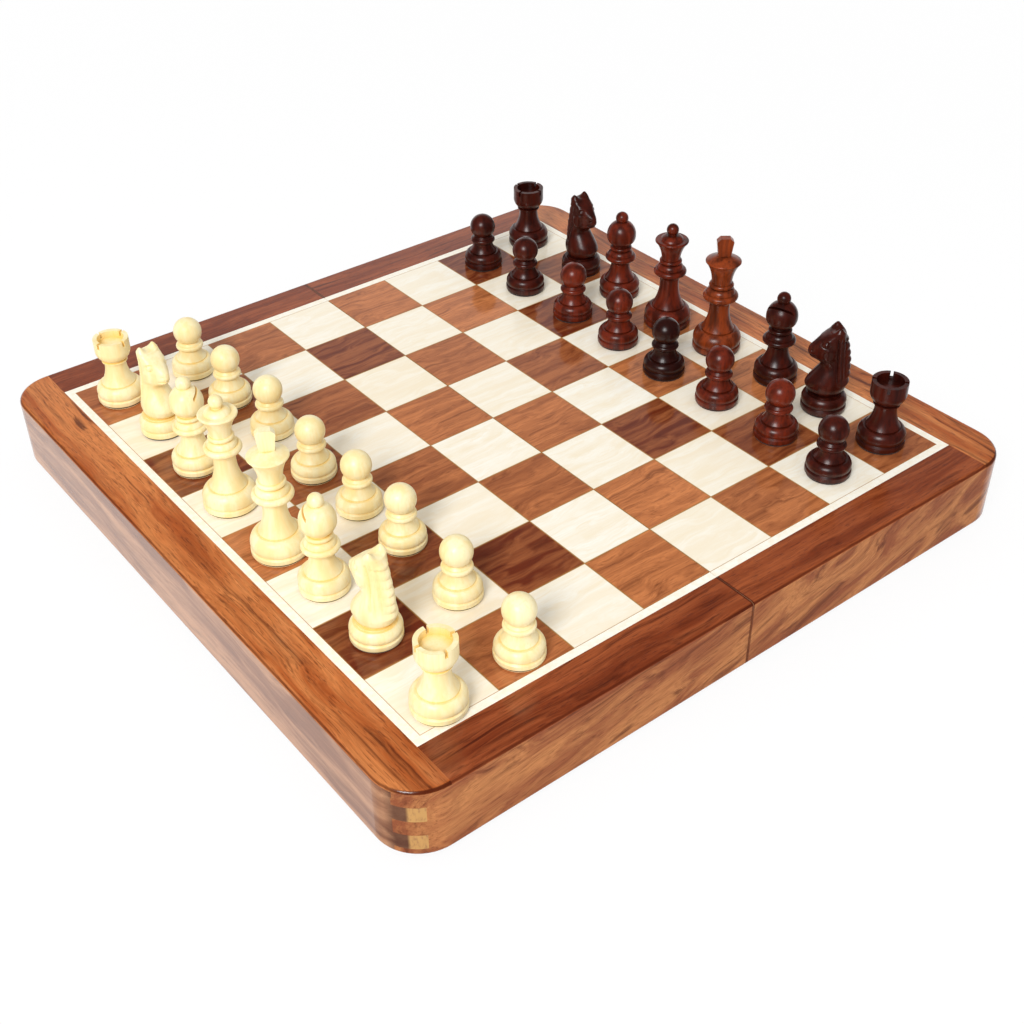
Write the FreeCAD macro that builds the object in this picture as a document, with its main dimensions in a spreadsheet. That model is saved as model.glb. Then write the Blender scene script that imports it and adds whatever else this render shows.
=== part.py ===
"""A folding wooden chess set: a two-piece board on shallow storage trays, with its 32 men.

Sizes are in millimetres. The fold runs along Y at x = 0, White sits on the -X side, and z = 0 is the
lowest point of the hinge barrels, so the open board stands with its walls just above it.
The half on the -X side is modelled in full; the other half is the same joinery turned about Z.
"""
import FreeCAD
import Part
import math
import os
import Sketcher

# Driving sizes: name, value, what it measures
BOARD_SIZES = [
    ("square", 33.0, "side of one square"),
    ("inlay_width", 3.5, "light strip round the squares"),
    ("rim_width", 19.0, "dark strip round the inlay"),
    ("rim_thickness", 4.0, "rim strips, steel and squares together"),
    ("wall_height", 26.5, "tray wall below the rim strips"),
    ("wall_thickness", 10.0, "outer walls with the finger joints"),
    ("seam_wall_thickness", 10.0, "inner wall that carries the hinges"),
    ("finger_count", 4, "fingers in the height of a corner joint"),
    ("corner_radius", 18.0, "rounding of the board's corners in plan"),
    ("top_rounding", 1.6, "rounding along the rim's outer top edge"),
    ("bottom_rounding", 1.5, "rounding along the wall's outer bottom edge"),
    ("seam_gap", 0.15, "from the fold plane to each half"),
    ("closing_gap", 0.1, "from the hinge axis up to each wall's bottom face"),
    ("ledge", 4.0, "width of the rebate that carries the core panel"),
    ("panel_thickness", 4.0, "plywood core panel"),
    ("panel_fit", 0.2, "slack of the core panel in its rebate"),
    ("steel_thickness", 0.5, "sheet under the squares that holds the magnets"),
    ("glue_line", 0.1, "gap between neighbouring squares"),
    ("lining_thickness", 1.0, "felt on the ceiling of the tray"),
    ("lining_fit", 0.3, "slack of the felt between the walls"),
]
HINGE_SIZES = [
    ("hinge_spread", 95.0, "from the middle of the fold to a hinge's middle"),
    ("hinge_length", 26.0, "length of a hinge along the fold"),
    ("leaf_width", 8.6, "from the hinge axis to the leaf's edge"),
    ("leaf_thickness", 0.8, "brass sheet of a leaf"),
    ("leaf_lift", 0.4, "from the hinge axis up to the leaf's face"),
    ("mortise_fit", 0.2, "slack round a leaf in its mortise"),
    ("knuckle_radius", 1.4, "outside of the hinge barrel"),
    ("knuckle_gap", 0.2, "between neighbouring knuckles, and round them"),
    ("pin_radius", 0.7, "hinge pin"),
    ("pin_fit", 0.05, "running clearance of the pin"),
    ("screw_head_radius", 1.5, "countersunk head"),
    ("screw_shank_radius", 0.8, "shank of a hinge screw"),
    ("screw_length", 7.0, "hinge screw with its head"),
    ("screw_fit", 0.05, "clearance of a screw in its hole"),
    ("screw_inset", 5.0, "from the hinge axis to a screw"),
    ("screw_spread", 8.5, "from a hinge's middle to a screw"),
    ("closer_radius", 3.0, "closing magnet in a long wall"),
    ("closer_height", 3.0, "closing magnet"),
    ("closer_recess", 0.2, "closing magnet below the wall's face"),
    ("closer_fit", 0.1, "slack of a closing magnet in its bore"),
    ("closer_spread", 105.0, "from the middle of a wall to its magnet"),
]
MEN_SIZES = [
    ("felt_thickness", 0.8, "felt disc under a man"),
    ("felt_inset", 0.6, "felt disc inside the foot's edge"),
    ("magnet_radius", 5.0, "magnet let into a man's foot"),
    ("magnet_height", 2.4, "magnet let into a man's foot"),
    ("magnet_fit", 0.1, "slack of a magnet in its bore"),
    ("foot_height", 2.0, "plain band of the foot"),
    ("foot_softening", 0.5, "rounding under the foot's edge"),
    ("groove_depth", 0.7, "turned line above the foot's band"),
    ("ledge_width", 0.9, "turned step at the top of the dome"),
    ("pawn_foot_radius", 9.4, "pawn"),
    ("pawn_dome_height", 4.0, "pawn, swelling above the groove"),
    ("pawn_shoulder_radius", 6.6, "pawn, foot of the stem"),
    ("pawn_stem_height", 4.6, "pawn, hollow stem"),
    ("pawn_stem_radius", 4.7, "pawn, top of the stem"),
    ("pawn_collar_radius", 6.0, "pawn, single bead collar"),
    ("pawn_collar_height", 2.4, "pawn, single bead collar"),
    ("pawn_neck_radius", 4.2, "pawn, where the ball sits"),
    ("pawn_neck_height", 1.0, "pawn, collar to ball"),
    ("pawn_ball_radius", 6.2, "pawn, ball head"),
    ("rook_foot_radius", 10.1, "rook"),
    ("rook_dome_height", 5.0, "rook, swelling above the groove"),
    ("rook_shoulder_radius", 7.2, "rook, foot of the stem"),
    ("rook_stem_height", 9.8, "rook, hollow stem"),
    ("rook_stem_radius", 4.6, "rook, top of the stem"),
    ("rook_ring_radius", 5.5, "rook, ring under the crown"),
    ("rook_ring_height", 1.3, "rook, ring under the crown"),
    ("rook_cup_height", 5.2, "rook, round underside of the crown"),
    ("rook_crown_radius", 7.5, "rook, battlements"),
    ("rook_crown_height", 4.8, "rook, battlements"),
    ("rook_well_radius", 5.7, "rook, hollow in the crown"),
    ("rook_well_depth", 3.0, "rook, hollow in the crown"),
    ("rook_slot_width", 1.2, "rook, saw cuts across the crown"),
    ("rook_slot_depth", 2.4, "rook, saw cuts across the crown"),
    ("knight_foot_radius", 9.7, "knight"),
    ("knight_dome_height", 4.4, "knight, swelling above the groove"),
    ("knight_shoulder_radius", 7.2, "knight, flat that the head stands on"),
    ("knight_seat_depth", 1.0, "knight, head let into the foot"),
    ("knight_head_height", 31.8, "knight, shoulder to ear tip"),
    ("knight_head_reach", 9.7, "knight, axis to muzzle"),
    ("knight_root_width", 11.6, "knight, across the head where it meets the foot"),
    ("knight_chest_width", 14.6, "knight, across the shoulders"),
    ("knight_cheek_width", 8.6, "knight, across the cheeks"),
    ("knight_crest_width", 6.8, "knight, across the ears"),
    ("knight_ear_gap", 3.2, "knight, between the tips of the ears"),
    ("knight_ear_depth", 2.8, "knight, notch between the ears"),
    ("knight_muzzle_width", 5.0, "knight, across the muzzle"),
    ("knight_mane_width", 2.8, "knight, across the mane's ridge"),
    ("knight_mane_locks", 7, "knight, carved locks down the mane"),
    ("knight_line_width", 0.6, "knight, carved line between mane and neck"),
    ("knight_line_depth", 0.6, "knight, carved line between mane and neck"),
    ("knight_eye_radius", 0.9, "knight, drilled eye"),
    ("knight_eye_depth", 0.5, "knight, drilled eye"),
    ("knight_mouth_height", 0.6, "knight, saw cut of the mouth"),
    ("knight_mouth_depth", 2.6, "knight, saw cut of the mouth"),
    ("bishop_foot_radius", 9.7, "bishop"),
    ("bishop_dome_height", 4.8, "bishop, swelling above the groove"),
    ("bishop_shoulder_radius", 7.1, "bishop, foot of the stem"),
    ("bishop_stem_height", 7.9, "bishop, hollow stem"),
    ("bishop_stem_radius", 4.4, "bishop, top of the stem"),
    ("bishop_flare_height", 1.6, "bishop, underside of the collar"),
    ("bishop_collar_radius", 7.3, "bishop, collar"),
    ("bishop_collar_edge", 2.6, "bishop, thickness of the collar's edge"),
    ("bishop_ring_radius", 6.0, "bishop, ring on the collar"),
    ("bishop_ring_height", 2.6, "bishop, ring on the collar"),
    ("bishop_bead_radius", 5.2, "bishop, bead above the ring"),
    ("bishop_bead_height", 1.9, "bishop, bead above the ring"),
    ("bishop_neck_radius", 4.0, "bishop, under the mitre"),
    ("bishop_neck_height", 0.8, "bishop, under the mitre"),
    ("bishop_mitre_radius", 6.9, "bishop, mitre"),
    ("bishop_mitre_lower", 4.7, "bishop, neck to the mitre's widest"),
    ("bishop_mitre_upper", 7.0, "bishop, the mitre's widest to its tip"),
    ("bishop_tip_radius", 2.5, "bishop, tip that the ball sits on"),
    ("bishop_ball_radius", 3.0, "bishop, ball on the mitre"),
    ("bishop_slit_width", 1.0, "bishop, saw cut in the mitre"),
    ("bishop_slit_depth", 6.2, "bishop, saw cut in the mitre"),
    ("bishop_slit_angle", 40.0, "bishop, slope of the saw cut in degrees"),
    ("queen_foot_radius", 10.9, "queen"),
    ("queen_dome_height", 5.8, "queen, swelling above the groove"),
    ("queen_shoulder_radius", 7.4, "queen, foot of the stem"),
    ("queen_stem_height", 14.0, "queen, hollow stem"),
    ("queen_stem_radius", 4.6, "queen, top of the stem"),
    ("queen_flare_height", 1.8, "queen, underside of the collar"),
    ("queen_collar_radius", 7.6, "queen, collar"),
    ("queen_collar_edge", 2.8, "queen, thickness of the collar's edge"),
    ("queen_ring_radius", 6.0, "queen, ring on the collar"),
    ("queen_ring_height", 2.8, "queen, ring on the collar"),
    ("queen_bead_radius", 5.2, "queen, bead above the ring"),
    ("queen_bead_height", 2.0, "queen, bead above the ring"),
    ("queen_neck_radius", 4.3, "queen, under the coronet"),
    ("queen_neck_height", 0.6, "queen, under the coronet"),
    ("queen_coronet_radius", 7.7, "queen, coronet"),
    ("queen_coronet_height", 7.9, "queen, neck to the coronet's edge"),
    ("queen_coronet_edge", 1.2, "queen, thickness of the coronet's edge"),
    ("queen_cap_radius", 5.4, "queen, cap on the coronet"),
    ("queen_cap_height", 2.0, "queen, cap on the coronet"),
    ("queen_tip_radius", 2.0, "queen, tip that the ball sits on"),
    ("queen_tip_height", 0.8, "queen, tip that the ball sits on"),
    ("queen_ball_radius", 2.8, "queen, ball on the cap"),
    ("king_foot_radius", 11.0, "king"),
    ("king_dome_height", 6.4, "king, swelling above the groove"),
    ("king_shoulder_radius", 7.4, "king, foot of the stem"),
    ("king_stem_height", 12.8, "king, hollow stem"),
    ("king_stem_radius", 4.7, "king, top of the stem"),
    ("king_flare_height", 2.0, "king, underside of the collar"),
    ("king_collar_radius", 8.0, "king, collar"),
    ("king_collar_edge", 3.0, "king, thickness of the collar's edge"),
    ("king_ring_radius", 6.5, "king, ring on the collar"),
    ("king_ring_height", 2.8, "king, ring on the collar"),
    ("king_bead_radius", 5.6, "king, bead above the ring"),
    ("king_bead_height", 2.2, "king, bead above the ring"),
    ("king_neck_radius", 4.6, "king, under the crown"),
    ("king_neck_height", 0.8, "king, under the crown"),
    ("king_crown_radius", 8.0, "king, crown"),
    ("king_crown_height", 9.2, "king, neck to the crown's edge"),
    ("king_crown_edge", 1.0, "king, thickness of the crown's edge"),
    ("king_cap_height", 2.2, "king, slope on top of the crown"),
    ("king_cap_radius", 2.8, "king, flat that the finial stands on"),
    ("king_finial_height", 8.6, "king, finial"),
    ("king_finial_root", 5.2, "king, width of the finial at its root"),
    ("king_finial_top", 7.4, "king, width of the finial at its top"),
    ("king_finial_thickness", 3.6, "king, finial"),
    ("king_finial_chamfer", 1.6, "king, cut corners of the finial"),
]

# Squares along a side and on one half, and how close two lengths count as equal
ACROSS = 8
HALF_ACROSS = 4
NEAR = 1e-6

# Bends of a segment: the rise of an arc over half its chord, positive where it swells outwards
QUARTER_ROUND = math.tan(math.pi / 8)
EDGE_ROUND = 0.8
DOME_BEND = 0.36
STEM_BEND = -0.16
FLARE_BEND = -0.25
SWELL_BEND = 0.32
CROWN_BEND = -0.14
LOCK_BEND = 0.22
NECK_BEND = -0.16

# Shares that shape small details
LEDGE_RISE = 0.6
RING_CHAMFER = 0.33
SLIT_LEVEL = 1.15
PAST = 1.2

# The knight's head from the side: shares of reach and height, and the bend of the segment that follows
TOE = (0.66, 0.0, 0.10)
CHEST = (0.97, 0.13, -0.22)
THROAT = (0.33, 0.42, 0)
JAW = (0.52, 0.50, 0)
CHIN = (0.86, 0.54, 0.30)
NOSE = (1.00, 0.63, 0.20)
BRIDGE = (0.95, 0.70, -0.05)
BROW = (0.32, 0.88, 0.20)
POLL = (-0.06, 0.92, -0.12)
EAR = (-0.32, 1.00, 0)
NAPE = (-0.53, 0.89, LOCK_BEND)
RUMP = (-0.92, 0.12, 0.20)
HEEL = (-0.66, 0.0, 0)
EYE = (0.36, 0.765)
MANE_TOP = (-0.22, 0.86)
MANE_FOOT = (-0.50, 0.30)
MOUTH_LEVEL = 0.58
SHOULDER_LEVEL = 0.17
CHEEK_LEVEL = 0.60
CHEEK_REACH = 0.25
MANE_REACH = 0.92
BLANK_BEND = 0.25
FLANK_BEND = 0.16
MANE_BOW = 0.16

# Where the men stand: shares of a square off its middle along X and Y
FILES = "abcdefgh"
BACK_RANK = ["rook", "knight", "bishop", "queen", "king", "bishop", "knight", "rook"]
WHITE_PLACES = {
    "rook_a": (-0.05, 0.0), "knight_b": (0.04, -0.03), "bishop_c": (-0.02, -0.03),
    "queen": (-0.07, 0.02), "king": (-0.07, -0.12),
    "bishop_f": (-0.02, 0.0), "knight_g": (-0.02, -0.03), "rook_h": (-0.115, -0.295),
    "pawn_a": (0.01, -0.015), "pawn_b": (0.05, 0.03), "pawn_c": (0.11, 0.045), "pawn_d": (0.04, -0.075),
    "pawn_e": (0.08, -0.03), "pawn_f": (0.11, 0.105), "pawn_g": (0.05, -0.045), "pawn_h": (-0.01, -0.21),
}
BLACK_PLACES = {
    "rook_a": (-0.01, 0.105), "knight_b": (0.035, -0.12), "bishop_c": (0.005, -0.03),
    "queen": (-0.04, -0.11), "king": (0.02, -0.045),
    "bishop_f": (0.065, -0.12), "knight_g": (0.02, -0.015), "rook_h": (-0.025, -0.015),
    "pawn_a": (-0.01, -0.03), "pawn_b": (0.005, -0.045), "pawn_c": (0.05, -0.09), "pawn_d": (0.05, -0.075),
    "pawn_e": (0.005, -0.06), "pawn_f": (0.05, -0.03), "pawn_g": (0.065, -0.075), "pawn_h": (-0.03, -0.035),
}

# How the men that have a front are turned, in degrees
WHITE_TURNS = {
    "rook_a": 20.0, "knight_b": -80.0, "bishop_c": -15.0, "king": -25.0,
    "bishop_f": 130.0, "knight_g": 150.0, "rook_h": -8.0,
}
BLACK_TURNS = {
    "rook_a": 15.0, "knight_b": -38.0, "bishop_c": 40.0, "king": -38.0,
    "bishop_f": -160.0, "knight_g": 142.0, "rook_h": 35.0,
}

doc = FreeCAD.newDocument("folding_chess_set")
nodes = []


class Dim:
    """A size that holds its value and the expression over the sheet that gives it."""

    def __init__(self, value, text):
        self.value = value
        self.text = text

    def __add__(self, other):
        other = as_dim(other)
        return Dim(self.value + other.value, f"({self.text} + {other.text})")

    def __sub__(self, other):
        other = as_dim(other)
        return Dim(self.value - other.value, f"({self.text} - {other.text})")

    def __mul__(self, factor):
        factor = as_dim(factor)
        return Dim(self.value * factor.value, f"({self.text} * {factor.text})")

    def __truediv__(self, other):
        other = as_dim(other)
        return Dim(self.value / other.value, f"({self.text} / {other.text})")

    def __neg__(self):
        return self * -1


def as_dim(number):
    """A plain number as a Dim."""
    if isinstance(number, Dim):
        return number
    return Dim(number, f"({number!r})")


def root(dim):
    """Square root of a Dim."""
    return Dim(math.sqrt(dim.value), f"sqrt({dim.text})")


def make_sheet():
    """The sheet of driving sizes, and a Dim for each of its rows."""
    sheet = doc.addObject("Spreadsheet::Sheet", "Sizes")
    dims = {}
    for row, (alias, value, note) in enumerate(BOARD_SIZES + HINGE_SIZES + MEN_SIZES, start=1):
        sheet.set(f"A{row}", alias)
        sheet.set(f"B{row}", str(value))
        sheet.set(f"C{row}", note)
        sheet.setAlias(f"B{row}", alias)
        dims[alias] = Dim(value, f"Sizes.{alias}")
    doc.recompute()
    return dims


D = make_sheet()
NONE = as_dim(0.0)

# Places that several pieces share
FIELD = D["square"] * HALF_ACROSS
FRAME = FIELD + D["inlay_width"]
HALF = FRAME + D["rim_width"]
AXIS = D["knuckle_radius"]
BASE = AXIS + D["closing_gap"]
WALL_TOP = BASE + D["wall_height"]
TOP = WALL_TOP + D["rim_thickness"]
PANEL_BOTTOM = WALL_TOP - D["panel_thickness"]
SEAM = -D["seam_gap"]
INSIDE = HALF - D["wall_thickness"]
SEAM_INSIDE = SEAM - D["seam_wall_thickness"]
LEAF_FACE = AXIS + D["leaf_lift"]
LEAF_BACK = LEAF_FACE + D["leaf_thickness"]


def bind(item, path, dim):
    """Tie one property of an object to the sheet."""
    item.setExpression(path, dim.text)


def stand(item, x, y, z):
    """Tie the place of an object to the sheet."""
    bind(item, "Placement.Base.x", as_dim(x))
    bind(item, "Placement.Base.y", as_dim(y))
    bind(item, "Placement.Base.z", as_dim(z))


def box(name, x_range, y_range, z_range):
    """A block between three pairs of places."""
    item = doc.addObject("Part::Box", name)
    bind(item, "Length", x_range[1] - x_range[0])
    bind(item, "Width", y_range[1] - y_range[0])
    bind(item, "Height", z_range[1] - z_range[0])
    stand(item, x_range[0], y_range[0], z_range[0])
    return item


def disc(name, radius, height, x, y, z):
    """An upright cylinder on its lower face's middle."""
    item = doc.addObject("Part::Cylinder", name)
    bind(item, "Radius", radius)
    bind(item, "Height", height)
    stand(item, x, y, z)
    return item


def barrel(name, radius, y_range):
    """A cylinder along the fold, on the hinge axis."""
    item = doc.addObject("Part::Cylinder", name)
    bind(item, "Radius", radius)
    bind(item, "Height", y_range[1] - y_range[0])
    item.Placement = FreeCAD.Placement(FreeCAD.Vector(), FreeCAD.Rotation(FreeCAD.Vector(1, 0, 0), -90))
    stand(item, NONE, y_range[0], AXIS)
    return item


def group(name, items):
    """Several solids side by side."""
    item = doc.addObject("Part::Compound", name)
    item.Links = items
    return item


def fuse(name, items):
    """Several solids made one."""
    item = doc.addObject("Part::MultiFuse", name)
    item.Shapes = items
    return item


def common(name, items):
    """What several solids share."""
    item = doc.addObject("Part::MultiCommon", name)
    item.Shapes = items
    return item


def cut(name, base, tools):
    """One solid less others."""
    item = doc.addObject("Part::Cut", name)
    item.Base = base
    item.Tool = group(name + "_tools", tools)
    return item


def copy_of(name, item, x=NONE, y=NONE, z=NONE, turn=0.0):
    """The same piece again, turned about Z and moved."""
    link = doc.addObject("App::Link", name)
    link.LinkedObject = item
    link.LinkTransform = True
    link.Placement = FreeCAD.Placement(FreeCAD.Vector(), FreeCAD.Rotation(FreeCAD.Vector(0, 0, 1), turn))
    stand(link, x, y, z)
    return link


def hand_in(item, label):
    """Mark an object as one node of the set."""
    item.Label = label
    nodes.append(item)
    return item


def both_halves(item, name):
    """One node on White's half, and the same piece turned half round on Black's."""
    hand_in(item, "white_side_" + name)
    hand_in(copy_of("turned_" + name, item, turn=180.0), "black_side_" + name)


def plane_of(body, role):
    """One of a body's own origin planes."""
    return next(feature for feature in body.Origin.OriginFeatures if feature.Role == role)


def centre_share(bend):
    """How far an arc's centre lies from the middle of its chord, in chords."""
    return (1 - bend * bend) / (4 * bend)


def arc_between(start, end, bend):
    """An arc from one point to another, drawn anticlockwise, and whether that runs from the start."""
    along = end - start
    offset = FreeCAD.Vector(-along.y, along.x, 0) * centre_share(bend)
    centre = (start + end) / 2 + offset
    circle = Part.Circle(centre, FreeCAD.Vector(0, 0, 1), centre.distanceToPoint(start))
    forward = bend > 0
    first, last = (start, end) if forward else (end, start)
    angles = [math.atan2(spot.y - centre.y, spot.x - centre.x) for spot in (first, last)]
    if angles[1] < angles[0]:
        angles[1] += 2 * math.pi
    return Part.ArcOfCircle(circle, angles[0], angles[1]), forward


def pin_centre(sketch, index, start, end):
    """Tie an arc's centre, which lies on the line square to its chord, to the sheet."""
    bend = start[2]
    width = end[0] - start[0]
    rise = end[1] - start[1]
    share = centre_share(bend)
    if abs(rise.value) > abs(width.value):
        across = (start[0] + end[0]) / 2 - rise * share
        number = sketch.addConstraint(Sketcher.Constraint("DistanceX", -1, 1, index, 3, across.value))
        bind(sketch, f"Constraints[{number}]", across)
    else:
        up = (start[1] + end[1]) / 2 + width * share
        number = sketch.addConstraint(Sketcher.Constraint("DistanceY", -1, 1, index, 3, up.value))
        bind(sketch, f"Constraints[{number}]", up)


def outline(body, name, plane, points):
    """A closed sketch through points (across, up, bend of the next segment), each tied to the sheet."""
    sketch = body.newObject("Sketcher::SketchObject", name)
    sketch.AttachmentSupport = (plane_of(body, plane), [""])
    sketch.MapMode = "FlatFace"
    spots = [FreeCAD.Vector(across.value, up.value, 0) for across, up, bend in points]
    ends = []
    for index, (across, up, bend) in enumerate(points):
        start = spots[index]
        end = spots[(index + 1) % len(points)]
        if bend == 0:
            sketch.addGeometry(Part.LineSegment(start, end))
            ends.append((1, 2))
            continue
        arc, forward = arc_between(start, end, bend)
        sketch.addGeometry(arc)
        ends.append((1, 2) if forward else (2, 1))
    for index, (across, up, bend) in enumerate(points):
        after = (index + 1) % len(points)
        sketch.addConstraint(Sketcher.Constraint("Coincident", index, ends[index][1], after, ends[after][0]))
        number = sketch.addConstraint(
            Sketcher.Constraint("DistanceX", -1, 1, index, ends[index][0], across.value))
        bind(sketch, f"Constraints[{number}]", across)
        number = sketch.addConstraint(
            Sketcher.Constraint("DistanceY", -1, 1, index, ends[index][0], up.value))
        bind(sketch, f"Constraints[{number}]", up)
        if bend != 0:
            pin_centre(sketch, index, points[index], points[after])
    return sketch


def padded(name, plane, points, length, offset=None, midplane=False):
    """A body padded from an outline, from a level of its plane or to both sides of it."""
    body = doc.addObject("PartDesign::Body", name)
    sketch = outline(body, name + "_outline", plane, points)
    if offset is not None:
        bind(sketch, "AttachmentOffset.Base.z", offset)
    pad = body.newObject("PartDesign::Pad", name + "_pad")
    pad.Profile = sketch
    pad.Midplane = midplane
    bind(pad, "Length", length)
    return body


def turned(name, points):
    """A body turned on the lathe: an outline in the XZ plane, spun about Z."""
    body = doc.addObject("PartDesign::Body", name)
    sketch = outline(body, name + "_profile", "XZ_Plane", points)
    spin = body.newObject("PartDesign::Revolution", name + "_turning")
    spin.Profile = sketch
    spin.ReferenceAxis = (sketch, ["V_Axis"])
    spin.Angle = 360.0
    return body


def rounded_half(name, z_range, rounding, top):
    """The outline of one half as a slab, with its outer edge rounded above or below."""
    corner = D["corner_radius"]
    shape = [
        (SEAM, -HALF, 0),
        (SEAM, HALF, 0),
        (corner - HALF, HALF, QUARTER_ROUND),
        (-HALF, HALF - corner, 0),
        (-HALF, corner - HALF, QUARTER_ROUND),
        (corner - HALF, -HALF, 0),
    ]
    body = padded(name, "XY_Plane", shape, z_range[1] - z_range[0], offset=z_range[0])
    doc.recompute()
    level = z_range[1].value if top else z_range[0].value
    names = []
    for number, edge in enumerate(body.Shape.Edges, start=1):
        bounds = edge.BoundBox
        flat = abs(bounds.ZMin - level) < NEAR and abs(bounds.ZMax - level) < NEAR
        at_seam = abs(bounds.XMin - SEAM.value) < NEAR
        if flat and not at_seam:
            names.append(f"Edge{number}")
    pad = body.Tip
    soft = body.newObject("PartDesign::Fillet", name + "_rounding")
    soft.Base = (pad, names)
    bind(soft, "Radius", rounding)
    body.Tip = soft
    return body


def finger_levels():
    """Levels of the long wall's fingers and of the end walls', which start with half a finger at the top."""
    height = D["wall_height"] / D["finger_count"]
    count = int(D["finger_count"].value)
    edges = [WALL_TOP]
    edges += [WALL_TOP - height * (layer + 0.5) for layer in range(count)]
    edges += [BASE]
    layers = list(zip(edges[1:], edges[:-1]))
    return layers[1::2], layers[0::2]


def finger_blocks(name, layers):
    """The corner blocks of the given layers at both ends of a long wall."""
    blocks = []
    for layer, levels in enumerate(layers):
        for end, y_range in (("front", (-HALF, -INSIDE)), ("back", (INSIDE, HALF))):
            blocks.append(box(f"{name}_{end}_{layer}", (-HALF, -INSIDE), y_range, levels))
    return blocks


def panel_rebate(name):
    """The rebate round the top of the tray that the core panel drops into."""
    reach = INSIDE + D["ledge"]
    return box(name, (-reach, SEAM), (-reach, reach), (PANEL_BOTTOM, WALL_TOP))


def closer_places():
    """Where the closing magnets sit: the middle of the long wall, either side of its middle."""
    x = D["wall_thickness"] / 2 - HALF
    return [(x, -D["closer_spread"]), (x, D["closer_spread"])]


def make_walls():
    """Long wall, front and back walls with finger joints, and the wall along the fold."""
    blank = rounded_half("wall_blank", (BASE, WALL_TOP), D["bottom_rounding"], top=False)
    long_layers, end_layers = finger_levels()

    slab = box("long_wall_slab", (-HALF, -INSIDE), (-HALF, HALF), (BASE, WALL_TOP))
    bores = []
    for number, (x, y) in enumerate(closer_places()):
        radius = D["closer_radius"] + D["closer_fit"]
        depth = D["closer_height"] + D["closer_recess"] + D["closer_fit"]
        bores.append(disc(f"closer_bore_{number}", radius, depth, x, y, BASE))
    tools = finger_blocks("long_notch", end_layers) + [panel_rebate("long_rebate")] + bores
    both_halves(cut("long_wall", common("long_wall_blank", [blank, slab]), tools), "long_wall")

    ends = []
    for end, y_range in (("front", (-HALF, -INSIDE)), ("back", (INSIDE, HALF))):
        slab = box(f"{end}_wall_slab", (-HALF, SEAM), y_range, (BASE, WALL_TOP))
        tools = finger_blocks(f"{end}_notch", long_layers) + [panel_rebate(f"{end}_rebate")]
        ends.append(cut(f"{end}_wall", common(f"{end}_wall_blank", [blank, slab]), tools))
    both_halves(group("end_walls", ends), "end_walls")

    slab = box("seam_wall_slab", (SEAM_INSIDE, SEAM), (-INSIDE, INSIDE), (BASE, PANEL_BOTTOM))
    both_halves(cut("seam_wall", slab, hinge_seats()), "seam_wall")


def hinge_seats():
    """Mortises for the leaves, room for the barrels and pilot holes for the screws."""
    fit = D["mortise_fit"]
    room = D["knuckle_radius"] + D["knuckle_gap"]
    tools = []
    for end, middle in (("front", -D["hinge_spread"]), ("back", D["hinge_spread"])):
        along = (middle - D["hinge_length"] / 2 - fit, middle + D["hinge_length"] / 2 + fit)
        leaf = box(f"{end}_mortise", (-D["leaf_width"] - fit, SEAM), along, (BASE, LEAF_BACK))
        relief = box(f"{end}_barrel_room", (-room, SEAM), along, (BASE, AXIS + room))
        tools += [leaf, relief]
        for side, y in (("low", middle - D["screw_spread"]), ("high", middle + D["screw_spread"])):
            radius = D["screw_shank_radius"] + D["screw_fit"]
            depth = D["screw_length"] + D["screw_fit"] - D["leaf_thickness"]
            tools.append(disc(f"{end}_pilot_{side}", radius, depth, -D["screw_inset"], y, LEAF_BACK))
    return tools


def make_rim():
    """Rim strips: a long one for the full length, short ones butted against it up to the fold."""
    blank = rounded_half("rim_blank", (WALL_TOP, TOP), D["top_rounding"], top=True)
    levels = (WALL_TOP, TOP)
    slabs = [
        box("long_rim_slab", (-HALF, -FRAME), (-HALF, HALF), levels),
        box("front_rim_slab", (-FRAME, SEAM), (-HALF, -FRAME), levels),
        box("back_rim_slab", (-FRAME, SEAM), (FRAME, HALF), levels),
    ]
    strips = [common(f"rim_strip_{number}", [blank, slab]) for number, slab in enumerate(slabs)]
    both_halves(group("rim_strips", strips), "rim_strips")


def make_field():
    """Core panel, steel sheet, inlay strips and the two sets of squares."""
    reach = INSIDE + D["ledge"] - D["panel_fit"]
    both_halves(box("core_panel", (-reach, SEAM), (-reach, reach), (PANEL_BOTTOM, WALL_TOP)), "core_panel")
    steel_top = WALL_TOP + D["steel_thickness"]
    both_halves(box("steel_sheet", (-FRAME, SEAM), (-FRAME, FRAME), (WALL_TOP, steel_top)), "steel_sheet")

    levels = (steel_top, TOP)
    strips = [
        box("long_inlay", (-FRAME, -FIELD), (-FRAME, FRAME), levels),
        box("front_inlay", (-FIELD, SEAM), (-FRAME, -FIELD), levels),
        box("back_inlay", (-FIELD, SEAM), (FIELD, FRAME), levels),
    ]
    both_halves(group("inlay_strips", strips), "inlay_strips")

    squares = {"light": [], "dark": []}
    line = D["glue_line"] / 2
    for column in range(HALF_ACROSS):
        for row in range(ACROSS):
            x = D["square"] * (column - HALF_ACROSS)
            y = D["square"] * (row - HALF_ACROSS)
            x_end = SEAM if column == HALF_ACROSS - 1 else x + D["square"] - line
            y_range = (y + line, y + D["square"] - line)
            shade = "light" if (column + row) % 2 == 0 else "dark"
            squares[shade].append(box(f"{shade}_{column}_{row}", (x + line, x_end), y_range, levels))
    for shade, blocks in squares.items():
        both_halves(group(f"{shade}_squares", blocks), f"{shade}_squares")


def make_lining():
    """Felt glued to the ceiling of the tray."""
    fit = D["lining_fit"]
    width = INSIDE - fit
    levels = (PANEL_BOTTOM - D["lining_thickness"], PANEL_BOTTOM)
    both_halves(box("felt_lining", (-width, SEAM_INSIDE - fit), (-width, width), levels), "felt_lining")


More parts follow.
